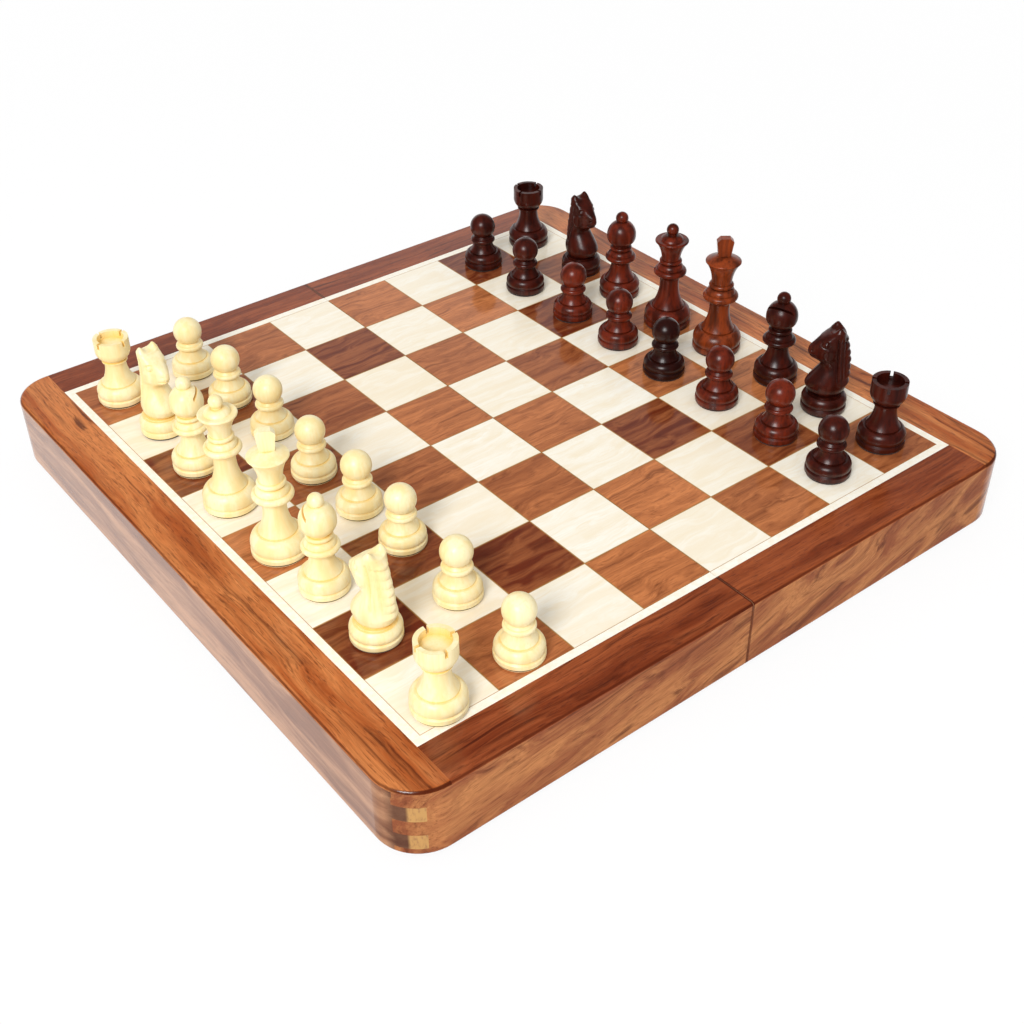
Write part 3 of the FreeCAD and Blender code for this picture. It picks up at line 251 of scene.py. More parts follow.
def wander(tree, spot, size, amount):
    """Push the pattern across the grain by a slow noise of a size, so that the figure wanders by an amount."""
    scaled = add(tree, "ShaderNodeVectorMath", {"operation": "DIVIDE"}, {0: spot, 1: size})
    noise = add(tree, "ShaderNodeTexNoise", {}, {"Vector": scaled[0], "Scale": 1.0, "Detail": 2.0})
    centred = add(tree, "ShaderNodeMath", {"operation": "SUBTRACT"}, {0: noise[0], 1: 0.5})
    return add(tree, "ShaderNodeVectorMath", {"operation": "MULTIPLY_ADD"}, {
        0: centred[0], 1: (0.0, amount, amount), 2: spot})[0]


def lacquer(tree, base, relief, rough, specular):
    """Clear lacquer on wood: a shine that pores dull and dent a little; finishes the material."""
    bump = add(tree, "ShaderNodeBump", {}, {"Strength": 0.15, "Distance": 0.1 * MM, "Height": relief})
    dulled = add(tree, "ShaderNodeMath", {"operation": "MULTIPLY_ADD"}, {0: relief, 1: 0.15, 2: rough})
    shader = add(tree, "ShaderNodeBsdfPrincipled", {}, {
        "Base Color": base, "Roughness": dulled[0], "IOR": 1.5, "Specular IOR Level": specular, "Normal": bump[0]})
    add(tree, "ShaderNodeOutputMaterial", {}, {"Surface": shader[0]})


def figured(tree, drift, spot, tones, looks, tone, depth):
    """Sheesham's figure: bands between two tones, dark figure lines, fine growth lines and open pores."""
    figure, growth, pore = (size / MM for size in (looks.figure, looks.growth, looks.pore))
    dark = grain(tree, drift, (70 * figure, figure, figure), 5.0, 0.52, 0.72, 0.85 * depth)
    lines = grain(tree, drift, (60 * growth, growth, growth), 3.0, 0.30, 0.70, 0.30 * depth)
    pores = grain(tree, spot, (14 * pore, pore, pore), 1.0, 0.58, 0.68, 0.5 * depth)
    base = add(tree, "ShaderNodeMix", {"data_type": "RGBA"}, {0: tone, 6: tones[0], 7: tones[1]})[2]
    for share in (dark, lines, pores):
        base = add(tree, "ShaderNodeMix", {"data_type": "RGBA"}, {0: share, 6: base, 7: tones[2]})[2]
    return base, pores


def sheesham(name, tones, turn, seed, looks, axis, depth, specular, soaked=0.8, sawn=0.0, flow=CALM_FLOW):
    """Lacquered sheesham plank: figure along the grain, a painted dark arris that stands in for the dim room mirrored
    in the rounded edge, and cut ends along an axis.

    Lacquer soaks into slanting cuts, a painted shadow darkens the seam's gap, and square-cut ends are tan with fine
    rings."""
    material, tree = new_material(name)
    spot, where = log_spot(tree, turn, (seed * 370.0, seed * 91.0, seed * 53.0))
    run, gap, push = flow
    drift = wander(tree, spot, (run, gap, gap), push)
    band = looks.band / MM
    tone = grain(tree, drift, (14 * band, band, band), 4.0, 0.36, 0.64)
    base, pores = figured(tree, drift, spot, tones, looks, tone, depth)
    facing = add(tree, "ShaderNodeVectorMath", {"operation": "DOT_PRODUCT"}, {0: where["Normal"], 1: axis})
    facing = add(tree, "ShaderNodeMath", {"operation": "ABSOLUTE"}, {0: facing[1]})
    slanting = add(tree, "ShaderNodeMapRange", {"interpolation_type": "SMOOTHSTEP"}, {
        0: facing[0], 1: 0.25, 2: 0.5, 4: soaked})
    base = add(tree, "ShaderNodeMix", {"data_type": "RGBA"}, {0: slanting[0], 6: base, 7: tones[2]})[2]
    rings = grain(tree, spot, (3.0, 0.9, 3.0), 2.0, 0.45, 0.75, 0.6)
    tan = add(tree, "ShaderNodeMix", {"data_type": "RGBA"}, {0: rings, 6: looks.end_grain, 7: tones[1]})[2]
    square_cut = add(tree, "ShaderNodeMapRange", {"interpolation_type": "SMOOTHSTEP"}, {
        0: facing[0], 1: 0.66, 2: 0.72, 4: sawn})
    base = add(tree, "ShaderNodeMix", {"data_type": "RGBA"}, {0: square_cut[0], 6: base, 7: tan})[2]
    parts = add(tree, "ShaderNodeSeparateXYZ", {}, {0: where["Normal"]})
    # Painted dark arris: where the normal points about 50 degrees up, on the rounded edges, the colour darkens as
    # painted reflection of the dim room
    slope = add(tree, "ShaderNodeMath", {"operation": "SUBTRACT"}, {0: parts[2], 1: 0.65})
    slope = add(tree, "ShaderNodeMath", {"operation": "ABSOLUTE"}, {0: slope[0]})
    painted_dark_arris = add(tree, "ShaderNodeMapRange", {"interpolation_type": "SMOOTHSTEP"}, {
        0: slope[0], 1: 0.1, 2: 0.32, 3: 0.7, 4: 0.0})
    base = add(tree, "ShaderNodeMix", {"data_type": "RGBA"}, {0: painted_dark_arris[0], 6: base, 7: tones[2]})[2]
    # Painted shadow of the seam's gap: within a millimetre of x = 0, faces that do not look along X darken
    places = add(tree, "ShaderNodeSeparateXYZ", {}, {0: where["Object"]})
    beside = add(tree, "ShaderNodeMath", {"operation": "ABSOLUTE"}, {0: places[0]})
    sideways = add(tree, "ShaderNodeMath", {"operation": "ABSOLUTE"}, {0: parts[0]})
    outside = add(tree, "ShaderNodeMapRange", {}, {0: sideways[0], 1: 0.5, 2: 0.9, 3: 0.9, 4: 0.0})
    seam = add(tree, "ShaderNodeMapRange", {}, {
        0: beside[0], 1: SEAM_SHADOW[0], 2: SEAM_SHADOW[1], 3: outside[0], 4: 0.0})
    base = add(tree, "ShaderNodeMix", {"data_type": "RGBA"}, {0: seam[0], 6: base, 7: tones[2]})[2]
    lacquer(tree, base, pores, 0.16, specular)
    return material


def veneer(name, tones, looks, depth, variety, streak):
    """Veneer squares: each is cut from another place in the log, and stained a little along its edges."""
    material, tree = new_material(name)
    spot, where = log_spot(tree)
    cells = add(tree, "ShaderNodeVectorMath", {"operation": "DIVIDE"}, {
        0: where["Object"], 1: (SQUARE, SQUARE, SQUARE)})
    cell = add(tree, "ShaderNodeVectorMath", {"operation": "FLOOR"}, {0: cells[0]})
    chance = add(tree, "ShaderNodeTexWhiteNoise", {"noise_dimensions": "3D"}, {"Vector": cell[0]})
    shifted = add(tree, "ShaderNodeVectorMath", {"operation": "MULTIPLY_ADD"}, {
        0: chance["Color"], 1: (900.0, 900.0, 900.0), 2: spot})
    drift = wander(tree, shifted[0], (30.0, 16.0, 16.0), 16.0)
    band = looks.band / MM / 2
    streaks = grain(tree, drift, (20 * band, band, band), 2.0, 0.30, 0.70, streak)
    tone = add(tree, "ShaderNodeMath", {"operation": "MULTIPLY_ADD"}, {0: chance["Value"], 1: variety, 2: streaks})
    base, pores = figured(tree, drift, shifted[0], tones, looks, tone[0], depth)
    inside = add(tree, "ShaderNodeVectorMath", {"operation": "FRACTION"}, {0: cells[0]})
    centred = add(tree, "ShaderNodeVectorMath", {"operation": "SUBTRACT"}, {0: inside[0], 1: (0.5, 0.5, 0.5)})
    outward = add(tree, "ShaderNodeVectorMath", {"operation": "ABSOLUTE"}, {0: centred[0]})
    parts = add(tree, "ShaderNodeSeparateXYZ", {}, {0: outward[0]})
    edge = add(tree, "ShaderNodeMath", {"operation": "MAXIMUM"}, {0: parts[0], 1: parts[1]})
    stain = add(tree, "ShaderNodeMapRange", {}, {
        0: edge[0], 1: GLUE_LINE[0], 2: GLUE_LINE[1], 3: 0.0, 4: 0.85})
    base = add(tree, "ShaderNodeMix", {"data_type": "RGBA"}, {0: stain[0], 6: base, 7: looks.glue})[2]
    lacquer(tree, base, pores, 0.10, 0.4)
    return material


def turned_wood(name, pale, dark, ring, depth, rough, specular, hollow_shade=None, hollow=0.0):
    """A man's wood with its grain upright: fine growth rings, and painted shade that colours the turned hollows."""
    material, tree = new_material(name)
    spot, _ = log_spot(tree)
    width = ring / MM
    band = grain(tree, spot, (width * 3, width * 3, width * 22), 3.0, 0.36, 0.66, depth)
    line = grain(tree, spot, (width * 0.6, width * 0.6, width * 12), 3.0, 0.48, 0.72, depth * 0.6)
    base = add(tree, "ShaderNodeMix", {"data_type": "RGBA"}, {0: band, 6: pale, 7: dark})[2]
    base = add(tree, "ShaderNodeMix", {"data_type": "RGBA"}, {0: line, 6: base, 7: dark})[2]
    if hollow_shade is not None:
        # Painted shade: the less open a spot is to its own surfaces, the more of the shade colour it takes
        openness = add(tree, "ShaderNodeAmbientOcclusion", {"only_local": True, "samples": 6}, {"Distance": hollow})
        share = add(tree, "ShaderNodeMapRange", {"interpolation_type": "SMOOTHSTEP"}, {
            0: openness["AO"], 1: HOLLOW_RANGE[0], 2: HOLLOW_RANGE[1], 3: MOST_HOLLOW_SHADE, 4: 0.0})
        base = add(tree, "ShaderNodeMix", {"data_type": "RGBA"}, {0: share[0], 6: base, 7: hollow_shade})[2]
    lacquer(tree, base, line, rough, specular)
    return material


def plywood(name, pale, dark):
    """Raw birch plywood: pale and dry, with faint wide rings."""
    material, tree = new_material(name)
    spot, _ = log_spot(tree)
    rings = grain(tree, wander(tree, spot, (70.0, 26.0, 26.0), 20.0), (90.0, 6.0, 1.2), 3.0, 0.3, 0.7)
    base = add(tree, "ShaderNodeMix", {"data_type": "RGBA"}, {0: rings, 6: linear(pale), 7: linear(dark)})[2]
    lacquer(tree, base, rings, 0.6, 0.2)
    return material


def metal(name, hex_colour, tarnish, rough):
    """Metal with fine brushed scratches, drawn 0.3 mm wide so that they show, and a little tarnish in them."""
    material, tree = new_material(name)
    spot, _ = log_spot(tree)
    lines = grain(tree, spot, (0.3, 12.0, 0.3), 2.0, 0.3, 0.7, 0.25)
    base = add(tree, "ShaderNodeMix", {"data_type": "RGBA"}, {
        0: lines, 6: linear(hex_colour), 7: linear(tarnish)})[2]
    dulled = add(tree, "ShaderNodeMath", {"operation": "MULTIPLY_ADD"}, {0: lines, 1: 0.5, 2: rough})
    shader = add(tree, "ShaderNodeBsdfPrincipled", {}, {
        "Base Color": base, "Metallic": 1.0, "Roughness": dulled[0]})
    add(tree, "ShaderNodeOutputMaterial", {}, {"Surface": shader[0]})
    return material


def felt(name, hex_colour, dark_hex):
    """Wool felt: matted fibres about 0.4 mm thick, dull, with a little sheen and cloudy patches."""
    material, tree = new_material(name)
    spot, _ = log_spot(tree)
    fibres = grain(tree, spot, (0.4, 0.4, 0.4), 4.0, 0.3, 0.7)
    clouds = grain(tree, spot, (14.0, 14.0, 14.0), 2.0, 0.3, 0.7, 0.25)
    base = add(tree, "ShaderNodeMix", {"data_type": "RGBA"}, {
        0: fibres, 6: linear(dark_hex), 7: linear(hex_colour)})[2]
    base = add(tree, "ShaderNodeMix", {"data_type": "RGBA"}, {0: clouds, 6: base, 7: linear(dark_hex)})[2]
    bump = add(tree, "ShaderNodeBump", {}, {"Strength": 0.5, "Distance": 0.3 * MM, "Height": fibres})
    shader = add(tree, "ShaderNodeBsdfPrincipled", {}, {
        "Base Color": base, "Roughness": 0.95, "Sheen Weight": 0.3, "Normal": bump[0]})
    add(tree, "ShaderNodeOutputMaterial", {}, {"Surface": shader[0]})
    return material


def dress(node, materials, choose=None):
    """Give a CAD node its materials; choose turns face middles and normals into material numbers."""
    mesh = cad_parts[node].data
    mesh.materials.clear()
    for material in materials:
        mesh.materials.append(material)
    numbers = np.zeros(len(mesh.polygons), np.int32)
    if choose is not None:
        middles, normals = np.empty((2, len(mesh.polygons) * 3), np.float32)
        mesh.polygons.foreach_get("center", middles)
        mesh.polygons.foreach_get("normal", normals)
        numbers = choose(middles.reshape(-1, 3), normals.reshape(-1, 3)).astype(np.int32)
    mesh.polygons.foreach_set("material_index", numbers)
    mesh.update()


def new_piece(name, spots, faces, material, body):
    """A smooth mesh from arrays of points and faces, riding on a body with a slot's finish."""
    mesh = bpy.data.meshes.new(name)
    mesh.from_pydata(spots.tolist(), [], faces)
    mesh.polygons.foreach_set("use_smooth", np.ones(len(mesh.polygons), bool))
    mesh.materials.append(material)
    piece = bpy.data.objects.new(name, mesh)
    bpy.context.scene.collection.objects.link(piece)
    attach(piece, body)
    return piece


def lining_sheet(side, material):
    """Felt lining: a level grid over (u, v) whose last millimetre curves up to the panel it is glued to.

    x and y run evenly from edge to edge; z falls below the panel by the thickness times
    sqrt(1 - e * e), where e rises from 0 to 1 over the last thickness before an edge, less a faint ripple."""
    node = f"{side}_side_felt_lining"
    low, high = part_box(node)
    deep = high.z - low.z
    soft = 1 - np.cos(np.linspace(0, math.pi / 2, 5))
    across = np.concatenate([low.x + deep * soft, np.linspace(low.x + deep, high.x - deep, 24)[1:-1],
                             high.x - deep * soft[::-1]])
    along = np.concatenate([low.y + deep * soft, np.linspace(low.y + deep, high.y - deep, 50)[1:-1],
                            high.y - deep * soft[::-1]])
    x, y = np.meshgrid(across, along, indexing="ij")
    inset = np.minimum(np.minimum(x - low.x, high.x - x), np.minimum(y - low.y, high.y - y))
    e = 1 - np.clip(inset / deep, 0, 1)
    ripple = 0.04 * deep * (1 + np.sin(x / (11 * MM)) * np.sin(y / (17 * MM)))
    z = high.z - (deep - ripple) * np.sqrt(1 - e * e)
    spots = np.stack([x, y, z], axis=-1).reshape(-1, 3)
    numbers = np.arange(x.size).reshape(x.shape)
    faces = np.stack([numbers[:-1, :-1], numbers[:-1, 1:], numbers[1:, 1:], numbers[1:, :-1]], axis=-1)
    faces = faces.reshape(-1, 4).tolist()
    piece = new_piece(f"felt_lining_{side}", spots, faces, material, f"{side}_half")
    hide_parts(node)


def foot_of(node, thickness):
    """Middle, radius and lowest level of a man's foot, from the points of its CAD solid near the sole."""
    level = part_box(node)[0].z
    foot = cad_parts[node].data
    spots = np.empty(len(foot.vertices) * 3, np.float32)
    foot.vertices.foreach_get("co", spots)
    spots = spots.reshape(-1, 3)
    sole = spots[spots[:, 2] < level + thickness * 2]
    middle = (sole.min(axis=0) + sole.max(axis=0)) / 2
    return middle[:2], (sole[:, 0].max() - sole[:, 0].min()) / 2, level


def closed_rows(rows):
    """Close a stack of rings, given from the sole up, with a point in the middle of the first and the last one."""
    count, around = rows.shape[:2]
    numbers = np.arange(count * around).reshape(count, around)
    after = np.roll(numbers, -1, axis=1)
    sides = np.stack([numbers[:-1], after[:-1], after[1:], numbers[1:]], axis=-1).reshape(-1, 4)
    sole = np.stack([np.full(around, numbers.size), after[0], numbers[0]], axis=-1)
    roof = np.stack([np.full(around, numbers.size + 1), numbers[-1], after[-1]], axis=-1)
    poles = rows[[0, -1]].mean(axis=1)
    return np.vstack([rows.reshape(-1, 3), poles]), sides.tolist() + sole.tolist() + roof.tolist()


def felt_pad(node, material, looks):
    """Felt pad under a man: a flat disc with a round edge, a closed profile (r, z) turned about the man's axis.

    x = r cos a, y = r sin a. The profile runs along the underside, round a half circle of the pad's
    thickness and back over the top, and its two ends on the axis are single points."""
    middle, radius, level = foot_of(node, looks.pad)
    radius -= looks.pad_inset
    half = looks.pad / 2
    turn = np.linspace(-math.pi / 2, math.pi / 2, 9)
    r = np.concatenate([[radius / 2], radius - half + half * np.cos(turn), [radius / 2]])
    z = np.concatenate([[0.0], half + half * np.sin(turn), [2 * half]]) + level
    a = np.linspace(0, 2 * math.pi, 48, endpoint=False)
    rows = np.stack([middle[0] + np.outer(r, np.cos(a)), middle[1] + np.outer(r, np.sin(a)),
                     np.repeat(z[:, None], a.size, axis=1)], axis=-1)
    spots, faces = closed_rows(rows)
    piece = new_piece(f"felt_pad_{node}", spots, faces, material, node)


def ease(value, low, high):
    """0 below low, 1 above high and a smooth step between."""
    share = np.clip((value - low) / (high - low), 0, 1)
    return share * share * (3 - 2 * share)


def bell(distance, width):
    """1 at no distance, falling off as a bell of a width."""
    return np.exp(-(distance / width) ** 2)


def carved_head():
    """A knight's neck and head in millimetres, looking along +X: points of (level, angle).

    Each level is an oval x = c + l |cos a|^p, y = w |sin a|^p, where c and l come from the reaches to
    front and back and w is the half width; p falls from 1 in the round neck to 0.8 in the squarer head.
    The oval narrows to the muzzle and the mane. Bells and steps of the distance then carve the line
    beside the mane, its locks, eye, brow, nostril, mouth and cheek, and raise two ears on the last rings."""
    levels, front, back, width = np.array(KNIGHT_LEVELS).T
    h = np.arange(0, levels[-1] + RING_STEP / 2, RING_STEP)
    kernel = bell(np.arange(-4, 5) * RING_STEP, 0.6)
    kernel /= kernel.sum()
    front, back, width = (
        np.convolve(np.pad(np.interp(h, levels, line), 4, mode="edge"), kernel, mode="valid")
        for line in (front, back, width))
    closing = np.linspace(0, math.pi / 2, CLOSING_RINGS + 2)[1:-1]
    shrink = np.concatenate([np.ones(h.size), np.cos(closing)])
    rise = np.concatenate([np.zeros(h.size), 0.7 * np.sin(closing)])
    stay = np.concatenate([np.arange(h.size), np.full(CLOSING_RINGS, h.size - 1)])
    a = np.linspace(0, 2 * math.pi, RING_POINTS, endpoint=False)
    h, front, back, width, shrink, rise = (line[:, None] for line in (
        h[stay], front[stay], back[stay], width[stay], shrink, rise))
    power = 1 - 0.2 * ease(h, 11, 19)
    along = np.sign(np.cos(a)) * np.abs(np.cos(a)) ** power
    across = np.sign(np.sin(a)) * np.abs(np.sin(a)) ** power
    x = (front - back) / 2 + (front + back) / 2 * along * shrink
    muzzle = 1 - 0.42 * ease(h, 13.4, 17) * ease(x, 1.5, 9.0)
    ridge = 1 - 0.3 * ease(-x, 2.0, 8.5) * ease(h, 3, 8)
    y = width * across * muzzle * ridge * shrink
    side = np.sign(y) * np.minimum(np.abs(y), 1.0)

    groove = np.interp(h, (7.5, 28.5), (-3.4, -1.6))
    upper = ease(h, 7.0, 9.0) * (1 - ease(h, 26.5, 28.0))
    carve = -0.8 * bell(x - groove, 0.5) * upper
    carve += -0.45 * (bell(x - groove + 1.7, 0.45) + bell(x - groove + 3.2, 0.4)) * upper
    carve += -0.4 * bell(h - 26.4 - 0.25 * x, 0.4) * ease(-x, 2.6, 3.6)
    eye = np.hypot(x - EYE[0], h - EYE[1])
    brow = bell(h - BROW[1], 0.6) * bell(x - BROW[0], 1.8)
    carve += 0.4 * bell(eye, 0.8) - 0.4 * bell(eye - 1.35, 0.35) + 0.35 * brow
    carve += -0.5 * bell(np.hypot(x - NOSTRIL[0], h - NOSTRIL[1]), 0.55)
    carve += 0.4 * (1 - ease(np.hypot(x - CHEEK[0], h - CHEEK[1]), 2.2, 3.4))
    mouth = 0.5 * bell(h - MOUTH_LEVEL, 0.32) * ease(x, 6.0, 7.2)
    y = y + side * (carve - mouth)
    locks = 0.6 * np.abs(np.sin(math.pi * h / 3.5)) * ease(h, 3.5, 5) * (1 - ease(h, 26, 28))
    x = x - mouth * ease(along, 0.5, 0.9) - locks * np.clip(-along, 0, 1) ** 3
    ears = 2.4 * bell(x - EAR[0], 1.9) * bell(np.abs(y) - EAR[1], 1.5) * ease(h, 27.0, 29.0)
    return np.stack([x, y, h + rise + ears], axis=-1)


def carved_knight(node, material, looks):
    """A carved knight: the rings of its head on those of a turned foot, set in its place.

    The foot is x = r cos a, y = r sin a; the whole is turned about the man's axis."""
    middle, _, level = foot_of(node, looks.pad)
    head = carved_head()
    a = np.linspace(0, 2 * math.pi, head.shape[1], endpoint=False)
    r, z = np.array(KNIGHT_FOOT).T
    heights = np.repeat(z[:, None], a.size, axis=1)
    foot = np.stack([np.outer(r, np.cos(a)), np.outer(r, np.sin(a)), heights], axis=-1)
    rows = np.vstack([foot, head + (0.0, 0.0, z[-1])]) * MM
    turn = math.radians(KNIGHT_TURNS[node])
    spin = np.array([[math.cos(turn), math.sin(turn), 0], [-math.sin(turn), math.cos(turn), 0], [0, 0, 1]])
    spots, faces = closed_rows(rows @ spin + (middle[0], middle[1], level))
    piece = new_piece(f"carved_{node}", spots, faces, material, node)
    piece.data.set_sharp_from_angle(angle=math.radians(SHARP_EDGE))
    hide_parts(node)
    return piece.name


class ChessSquares(bpy.types.Operator):
    """Veneer the 64 squares and the light line round them."""

    bl_idname = "chess_set.squares"
    bl_label = "Squares"

    def execute(self, context):
        looks = context.scene.chess_board_looks
        dark_tones = (looks.dark_pale, looks.dark_mid, looks.dark_deep)
        light_tones = (looks.light_pale, looks.light_mid, looks.light_mid)
        dark = veneer("sheesham_squares", dark_tones, looks, depth=0.6, variety=0.75, streak=0.35)
        light = veneer("maple_squares", light_tones, looks, depth=0.9, variety=0.35, streak=0.65)
        line = turned_wood("maple_line", looks.light_pale, looks.light_mid, looks.growth,
                           depth=0.5, rough=0.2, specular=0.25)
        for side in SIDES:
            dress(f"{side}_side_dark_squares", [dark])
            dress(f"{side}_side_light_squares", [light])
            dress(f"{side}_side_inlay_strips", [line])
        return {"FINISHED"}


def rim_part(middles, normals):
    """Which wood of the rim a face shows: 0 long strip, 1 front, 2 back; on its edges 3 long wall, 4 end wall."""
    is_long = np.abs(middles[:, 0]) > FRAME_EDGE
    strip = np.where(is_long, 0, np.where(middles[:, 1] < 0, 1, 2))
    beside = np.abs(normals[:, 0]) > SIDEWAYS
    return np.where(normals[:, 2] > UPWARD, strip, np.where(beside, 3, 4))


class ChessCase(bpy.types.Operator):
    """Finish the finger-jointed walls and the rim, whose edges are sanded flush with the walls and look alike."""

    bl_idname = "chess_set.case"
    bl_label = "Walls and rim"

    def execute(self, context):
        looks = context.scene.chess_board_looks
        rim = (looks.rim_pale, looks.rim_mid, looks.rim_dark)
        rim_long = (looks.rim_long_pale, looks.rim_long_mid, looks.rim_dark)
        ends = (looks.wall_pale, looks.wall_mid, looks.wall_dark)
        long_tones = (looks.long_pale, looks.long_mid, looks.long_dark)
        for number, side in enumerate(SIDES):
            slant = (0.0, 0.15 + 0.2 * number, 0.0)
            # The long walls' darker, greyer tones and calmer figure are partly the plank's own, partly painted dark
            # reflection on those glossy sides
            long_wood = sheesham(f"sheesham_long_wall_{side}", long_tones, QUARTER_TURN, 11 + number, looks, ALONG_Y,
                                 depth=0.4, specular=0.6, sawn=0.85)
            end_wood = sheesham(f"sheesham_end_walls_{side}", ends, slant, 13 + number, looks, ALONG_X,
                                depth=0.8, specular=0.4, soaked=0.2, flow=LIVELY_FLOW)
            dress(f"{side}_side_long_wall", [long_wood])
            dress(f"{side}_side_end_walls", [end_wood])
            dress(f"{side}_side_seam_wall", [long_wood])
            woods = [
                sheesham(f"sheesham_rim_{side}_long", rim_long, QUARTER_TURN, 1 + number, looks, ALONG_Y,
                         depth=1.0, specular=0.4),
                sheesham(f"sheesham_rim_{side}_front", rim, STILL, 3 + 5 * number, looks, ALONG_X,
                         depth=1.0, specular=0.4),
                sheesham(f"sheesham_rim_{side}_back", rim, STILL, 5 + number, looks, ALONG_X,
                         depth=1.0, specular=0.4),
                long_wood, end_wood,
            ]
            dress(f"{side}_side_rim_strips", woods, rim_part)
        return {"FINISHED"}


class ChessInside(bpy.types.Operator):
    """Finish the core panel and the steel under the squares, and lay the felt lining."""

    bl_idname = "chess_set.inside"
    bl_label = "Inside"

    def execute(self, context):
        ply = plywood("birch_plywood", "#d9bf94", "#b99a6c")
        steel = metal("mild_steel_sheet", "#9a9b9c", "#5c5a58", 0.35)
        lining = felt("green_wool_felt", "#1f4a31", "#12301f")
        for side in SIDES:
            dress(f"{side}_side_core_panel", [ply])
            dress(f"{side}_side_steel_sheet", [steel])
            lining_sheet(side, lining)
        return {"FINISHED"}


class ChessFittings(bpy.types.Operator):
    """Polish the hinges, pins and screws, and plate the closing magnets."""

    bl_idname = "chess_set.fittings"
    bl_label = "Hinges and magnets"

    def execute(self, context):
        brass = metal("polished_brass", "#d8aa52", "#7a5a28", 0.2)
        plate = metal("nickel_plate", "#c4c4c2", "#8a8884", 0.16)
        dress("hinge_pins", [brass])
        for side in SIDES:
            dress(f"{side}_side_hinge_leaves", [brass])
            dress(f"{side}_side_hinge_screws", [brass])
            dress(f"{side}_side_closing_magnets", [plate])
        return {"FINISHED"}


def men_of(side):
    """The nodes of one side's men."""
    return sorted(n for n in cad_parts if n.startswith(side + "_") and not n.startswith(side + "_side_"))


def finish_man(node, wood, pad, looks):
    """Finish a man: a knight gets its carved surface, the others their wood, and all a felt pad."""
    dress(node, [wood])
    top = carved_knight(node, wood, looks) if node in KNIGHT_TURNS else node
    felt_pad(node, pad, looks)


class ChessWhiteMen(bpy.types.Operator):
    """Finish the boxwood men, with painted golden shade in their hollows, and glue felt under them."""

    bl_idname = "chess_set.white_men"
    bl_label = "White men"

    def execute(self, context):
        looks = context.scene.chess_men_looks
        wood = turned_wood("boxwood_with_hollow_shade", looks.boxwood_pale, looks.boxwood_mid, looks.ring,
                           depth=0.7, rough=0.36, specular=0.5, hollow_shade=looks.golden_hollow_shade, hollow=looks.hollow)
        pad = felt("brown_felt", "#54432c", "#332818")
        for node in men_of("white"):
            finish_man(node, wood, pad, looks)
        return {"FINISHED"}


class ChessBlackMen(bpy.types.Operator):
    """Polish the rosewood men, each in the tone of its own timber, and glue felt under them."""

    bl_idname = "chess_set.black_men"
    bl_label = "Black men"

    def execute(self, context):
        looks = context.scene.chess_men_looks
        woods = {
            # Each rosewood also takes painted dark shade in its turned hollows, in the vein colour
            timber: turned_wood(f"rosewood_{timber}", getattr(looks, timber), looks.veins_and_hollow_shade, looks.ring,
                                depth=0.7, rough=0.28, specular=0.35, hollow_shade=looks.veins_and_hollow_shade, hollow=looks.hollow)
            for timber in ("amber", "red", "plum", "ebony")
        }
        pad = felt("dark_felt", "#2a1d18", "#140d0b")
        for node in men_of("black"):
            finish_man(node, woods[TIMBER.get(node[len("black_"):], "plum")], pad, looks)
        return {"FINISHED"}


def lamp(name, place, size, power):
    """A square soft lamp at a place, turned to the middle of the set."""
    light = bpy.data.lights.new(name, "AREA")
    light.energy = power
    light.size = size
    made = bpy.data.objects.new(name, light)
    made.location = place
    made.rotation_euler = (-Vector(place)).to_track_quat("-Z", "Y").to_euler()
    bpy.context.scene.collection.objects.link(made)


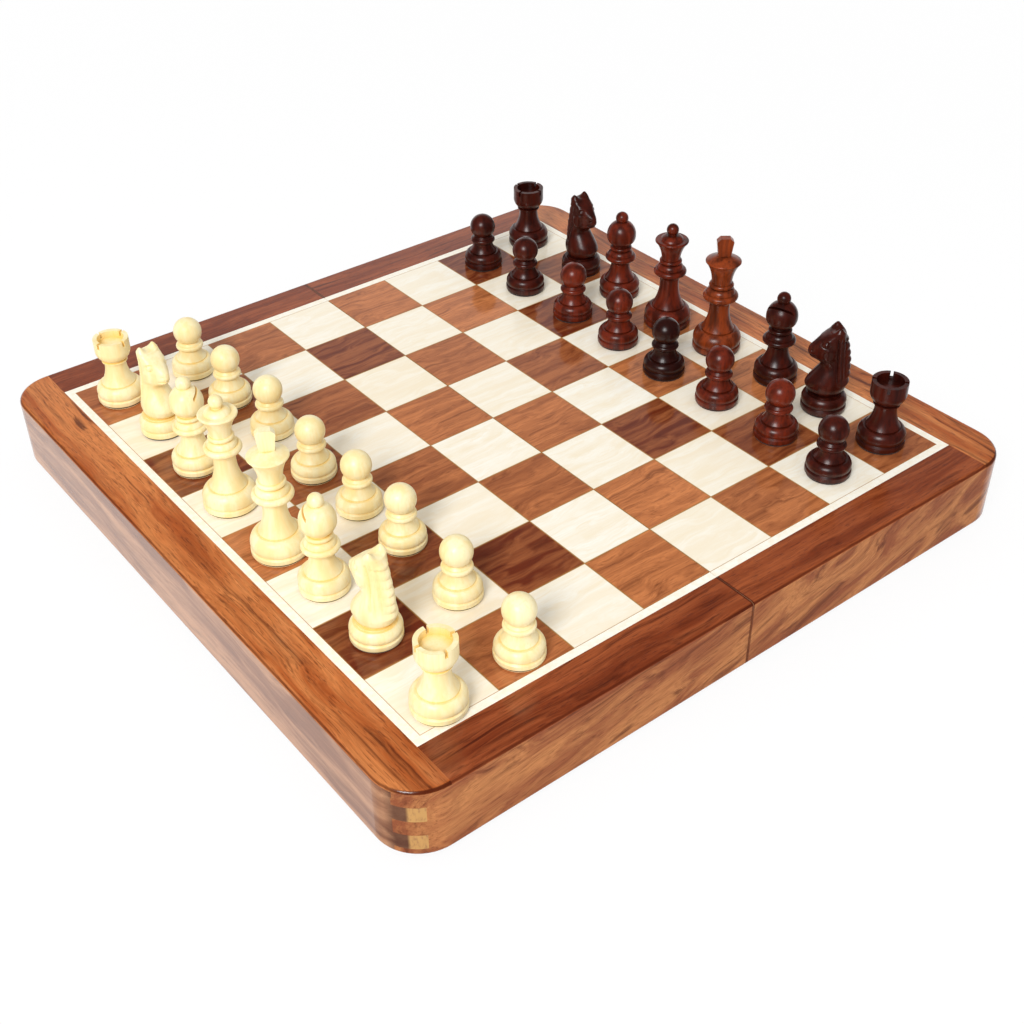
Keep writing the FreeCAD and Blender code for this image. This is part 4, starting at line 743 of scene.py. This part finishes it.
class ChessStage(bpy.types.Operator):
    """White floor, soft light and the camera."""

    bl_idname = "chess_set.stage"
    bl_label = "Stage"

    def execute(self, context):
        looks = context.scene.chess_stage_looks
        scene = context.scene
        scene.view_settings.view_transform = "Standard"

        spots = np.array([[-1, -1], [1, -1], [1, 1], [-1, 1]], float) * FLOOR_REACH
        level = np.full((4, 1), CAD_BOX[0].z - 0.1 * MM)
        mesh = bpy.data.meshes.new("floor")
        mesh.from_pydata(np.hstack([spots, level]).tolist(), [], [(0, 1, 2, 3)])
        floor = bpy.data.objects.new("floor", mesh)
        scene.collection.objects.link(floor)
        # White film on glass: shows the white studio behind it, with a faint shadow of the set, and fades out
        material, tree = new_material("white_film")
        path = add(tree, "ShaderNodeLightPath", {}, {})
        seen = add(tree, "ShaderNodeMath", {"operation": "MAXIMUM"}, {
            0: path["Is Camera Ray"], 1: path["Is Glossy Ray"]})
        seen = add(tree, "ShaderNodeMath", {"operation": "MAXIMUM"}, {0: seen[0], 1: path["Is Transmission Ray"]})
        where = add(tree, "ShaderNodeTexCoord", {}, {})
        away = add(tree, "ShaderNodeVectorMath", {"operation": "LENGTH"}, {0: where["Object"]})
        clear = add(tree, "ShaderNodeMapRange", {"interpolation_type": "SMOOTHSTEP"}, {
            0: away[1], 1: FILM_FADE[0], 2: FILM_FADE[1], 3: FILM_CLEAR, 4: 1.0})
        share = add(tree, "ShaderNodeMath", {"operation": "MULTIPLY"}, {0: seen[0], 1: clear[0]})
        film = add(tree, "ShaderNodeBsdfDiffuse", {}, {"Color": looks.floor})
        glass = add(tree, "ShaderNodeBsdfTransparent", {}, {})
        both = add(tree, "ShaderNodeMixShader", {}, {0: share[0], 1: film[0], 2: glass[0]})
        add(tree, "ShaderNodeOutputMaterial", {}, {"Surface": both[0]})
        mesh.materials.append(material)

        world = bpy.data.worlds.new("studio")
        world.use_nodes = True
        tree = world.node_tree
        tree.nodes.clear()
        path = add(tree, "ShaderNodeLightPath", {}, {})
        # Lacquer mirrors a white backdrop behind the set and a dimmer room on the near side
        ray = add(tree, "ShaderNodeTexCoord", {}, {})
        far = add(tree, "ShaderNodeVectorMath", {"operation": "DOT_PRODUCT"}, {
            0: ray["Generated"], 1: BACKDROP})
        mirrored = add(tree, "ShaderNodeMapRange", {"interpolation_type": "SMOOTHSTEP"}, {
            0: far[1], 1: BACKDROP_EDGE[0], 2: BACKDROP_EDGE[1], 3: DIM_ROOM, 4: 1.0})
        strength = add(tree, "ShaderNodeMix", {}, {0: path["Is Glossy Ray"], 2: looks.sky, 3: mirrored[0]})
        clear = add(tree, "ShaderNodeMath", {"operation": "MAXIMUM"}, {
            0: path["Is Camera Ray"], 1: path["Is Transmission Ray"]})
        strength = add(tree, "ShaderNodeMix", {}, {0: clear[0], 2: strength[0], 3: 1.0})
        sky = add(tree, "ShaderNodeBackground", {}, {"Color": looks.floor, "Strength": strength[0]})
        add(tree, "ShaderNodeOutputWorld", {}, {"Surface": sky[0]})
        scene.world = world

        lamp("soft_box", KEY_PLACE, KEY_SIZE, looks.key)

        azimuth, elevation, roll = (math.radians(angle) for angle in CAMERA_ANGLES)
        back = Vector((math.sin(azimuth) * math.cos(elevation), -math.cos(azimuth) * math.cos(elevation),
                       math.sin(elevation)))
        right = (-back).cross(Vector((0, 0, 1))).normalized()
        up = right.cross(-back)
        across = math.cos(roll) * right + math.sin(roll) * up
        upward = -math.sin(roll) * right + math.cos(roll) * up
        lens = bpy.data.cameras.new("camera")
        lens.sensor_width = SENSOR
        lens.lens = looks.lens
        lens.clip_start = 0.01
        camera = bpy.data.objects.new("camera", lens)
        camera.matrix_world = Matrix.Translation(Vector(CAMERA_PLACE) + Vector((0, 0, TOP))) @ Matrix(
            (across, upward, back)).transposed().to_4x4()
        scene.collection.objects.link(camera)
        scene.camera = camera
        return {"FINISHED"}


OPERATORS = (ChessSquares, ChessCase, ChessInside, ChessFittings, ChessWhiteMen, ChessBlackMen, ChessStage)
GROUPS = {
    "chess_board_looks": ChessBoardLooks,
    "chess_men_looks": ChessMenLooks,
    "chess_stage_looks": ChessStageLooks,
}


class ChessPanel(bpy.types.Panel):
    """Sizes, colours and steps of the chess set."""

    bl_idname = "VIEW3D_PT_chess_set"
    bl_label = "Folding chess set"
    bl_space_type = "VIEW_3D"
    bl_region_type = "UI"
    bl_category = "Chess"

    def draw(self, context):
        for name, group in GROUPS.items():
            looks = getattr(context.scene, name)
            for key in group.__annotations__:
                self.layout.prop(looks, key)
        for operator in OPERATORS:
            self.layout.operator(operator.bl_idname)


def register():
    """Register the classes and the settings."""
    for group in GROUPS.values():
        bpy.utils.register_class(group)
    for name, group in GROUPS.items():
        setattr(bpy.types.Scene, name, bpy.props.PointerProperty(type=group))
    for operator in OPERATORS:
        bpy.utils.register_class(operator)
    bpy.utils.register_class(ChessPanel)


def unregister():
    """Take the classes and the settings away again."""
    bpy.utils.unregister_class(ChessPanel)
    for operator in reversed(OPERATORS):
        bpy.utils.unregister_class(operator)
    for name in GROUPS:
        delattr(bpy.types.Scene, name)
    for group in reversed(GROUPS.values()):
        bpy.utils.unregister_class(group)


def main():
    """Dress the set and build the stage."""
    register()
    for operator in OPERATORS:
        area, name = operator.bl_idname.split(".")
        getattr(getattr(bpy.ops, area), name)()


if __name__ == "__main__":
    main()
